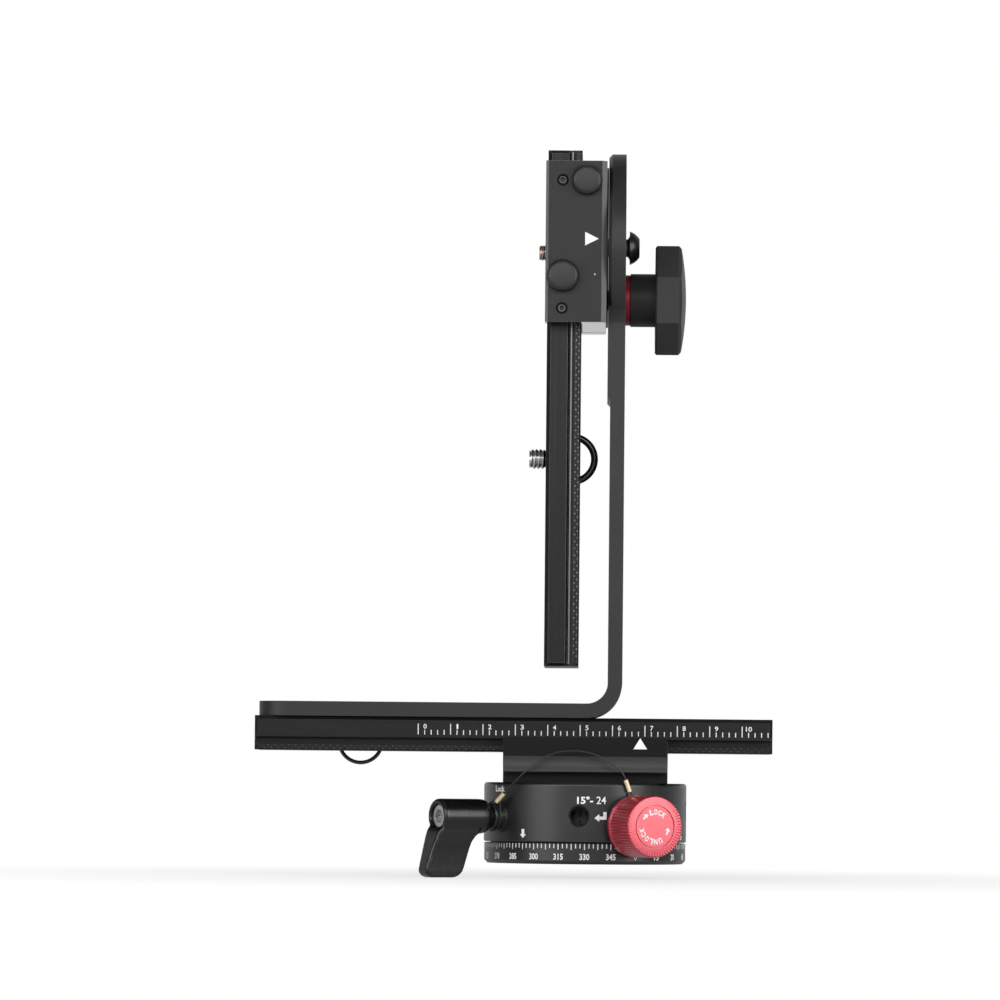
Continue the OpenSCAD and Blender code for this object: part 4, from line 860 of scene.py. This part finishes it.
def springs():
    """The two button springs as pieces of their own, split at BUTTON_SPLIT_Z and riding on the
    upper clamp."""
    for node, joint, above in (("upper_button", "upper_button_press", True),
                               ("lower_button", "lower_button_press", False)):
        mesh = NODES["button_springs"].data.copy()
        work = bmesh.new()
        work.from_mesh(mesh)
        others = [v for v in work.verts if (v.co.z > BUTTON_SPLIT_Z) != above]
        bmesh.ops.delete(work, geom=others, context="VERTS")
        work.to_mesh(mesh)
        work.free()
        spring = bpy.data.objects.new(node + "_spring", mesh)
        bpy.context.scene.collection.objects.link(spring)
        mesh.materials.clear()
        mesh.materials.append(LOOK["steel"])
        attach(spring, "upper_clamp")
        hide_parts("button_springs")
        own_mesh(spring)


# ---- Stage ----

def area_light(name, place, target, size, power, size_y=None):
    data = bpy.data.lights.new(name, "AREA")
    data.shape = "RECTANGLE"
    data.size, data.size_y = size, size_y or size
    data.energy = power
    lamp = bpy.data.objects.new(name, data)
    bpy.context.scene.collection.objects.link(lamp)
    place, target = Vector(place), Vector(target)
    lamp.location = place
    lamp.rotation_mode = "QUATERNION"
    lamp.rotation_quaternion = (target - place).to_track_quat("-Z", "Y")


def make_world():
    """White to the camera; as a light, bright behind the object and dim in front of it."""
    world = bpy.data.worlds.new("studio")
    bpy.context.scene.world = world
    world.use_nodes = True
    nodes, links = world.node_tree.nodes, world.node_tree.links
    back = nodes["Background"]
    path = nodes.new("ShaderNodeLightPath")
    seen = nodes.new("ShaderNodeMath")
    seen.operation = "MAXIMUM"
    links.new(path.outputs["Is Camera Ray"], seen.inputs[0])
    links.new(path.outputs["Is Transmission Ray"], seen.inputs[1])
    coords = nodes.new("ShaderNodeTexCoord")
    split = nodes.new("ShaderNodeSeparateXYZ")
    links.new(coords.outputs["Generated"], split.inputs[0])
    studio = nodes.new("ShaderNodeMapRange")
    studio.inputs["From Min"].default_value = 0.1
    studio.inputs["From Max"].default_value = 0.8
    studio.inputs["To Min"].default_value = ROOM_FRONT
    studio.inputs["To Max"].default_value = ROOM_BACK
    links.new(split.outputs["Y"], studio.inputs["Value"])
    above = nodes.new("ShaderNodeMapRange")
    above.inputs["From Min"].default_value = 0.2
    above.inputs["From Max"].default_value = 0.8
    above.inputs["To Min"].default_value = 1.0
    above.inputs["To Max"].default_value = ROOM_ABOVE
    links.new(split.outputs["Z"], above.inputs["Value"])
    dimmed = nodes.new("ShaderNodeMath")
    dimmed.operation = "MULTIPLY"
    links.new(studio.outputs[0], dimmed.inputs[0])
    links.new(above.outputs[0], dimmed.inputs[1])
    level = nodes.new("ShaderNodeMix")
    level.inputs["B"].default_value = 1.0
    links.new(seen.outputs[0], level.inputs["Factor"])
    links.new(dimmed.outputs[0], level.inputs["A"])
    back.inputs["Color"].default_value = (1, 1, 1, 1)
    links.new(level.outputs["Result"], back.inputs["Strength"])


def make_floor():
    """Pale floor that reads as white away from the object and keeps its soft shadow."""
    size = FLOOR_SIZE
    mesh = bpy.data.meshes.new("floor")
    mesh.from_pydata([(-size, -size, 0), (size, -size, 0), (size, size, 0), (-size, size, 0)],
                     [], [(0, 1, 2, 3)])
    floor = bpy.data.objects.new("floor", mesh)
    floor.location.z = FLOOR_Z
    bpy.context.scene.collection.objects.link(floor)
    tree = Tree("pale_floor")
    tree.shader.inputs["Roughness"].default_value = 0.8
    glow = tree.add("Emission")
    glow.inputs["Strength"].default_value = 1.0
    coords = tree.add("TexCoord")
    radius = tree.add("VectorMath", operation="LENGTH")
    tree.link(coords.outputs["Object"], radius.inputs[0])
    share = tree.span(radius.outputs["Value"], 0.72, 1.0, 0.06, 0.24)
    path = tree.add("LightPath")
    tone = tree.blend(path.outputs["Is Camera Ray"], (0.6, 0.6, 0.6), (0.85, 0.85, 0.85))
    tree.link(tone.outputs["Result"], tree.shader.inputs["Base Color"])
    seen = tree.add("Math", operation="MULTIPLY")
    tree.link(share, seen.inputs[0])
    tree.link(path.outputs["Is Camera Ray"], seen.inputs[1])
    mirrored = tree.add("Math", operation="MULTIPLY")
    tree.link(path.outputs["Is Glossy Ray"], mirrored.inputs[0])
    mirrored.inputs[1].default_value = 0.3
    product = tree.add("Math", operation="MAXIMUM")
    tree.link(seen.outputs[0], product.inputs[0])
    tree.link(mirrored.outputs[0], product.inputs[1])
    mix = tree.add("MixShader")
    tree.link(product.outputs[0], mix.inputs[0])
    tree.link(tree.shader.outputs[0], mix.inputs[1])
    tree.link(glow.outputs[0], mix.inputs[2])
    tree.link(mix.outputs[0], tree.out.inputs["Surface"])
    mesh.materials.append(tree.material)


def make_lights():
    aim = (0, 0, 0.11)
    area_light("key", (-0.34, -1.38, 0.55), aim, 2.1, 14, 0.6)
    area_light("right", (0.80, -0.68, 0.32), aim, 0.6, 7, 0.7)
    area_light("left", (-0.92, -0.78, 0.2), aim, 0.7, 4.5, 0.6)
    area_light("top", (0.0, -0.3, 1.2), aim, 0.8, 0.8)


make_camera()
dress_nodes()
ring_scale()
housing_marks()
plunger_marks()
ruler()
clamp_marks()
rail_teeth()
screws()
screw_seats()
clamp_apron()
buttons()
springs()
plunger_cap()
cast_lever()
make_world()
make_floor()
make_lights()
bpy.context.scene.view_settings.view_transform = "Standard"
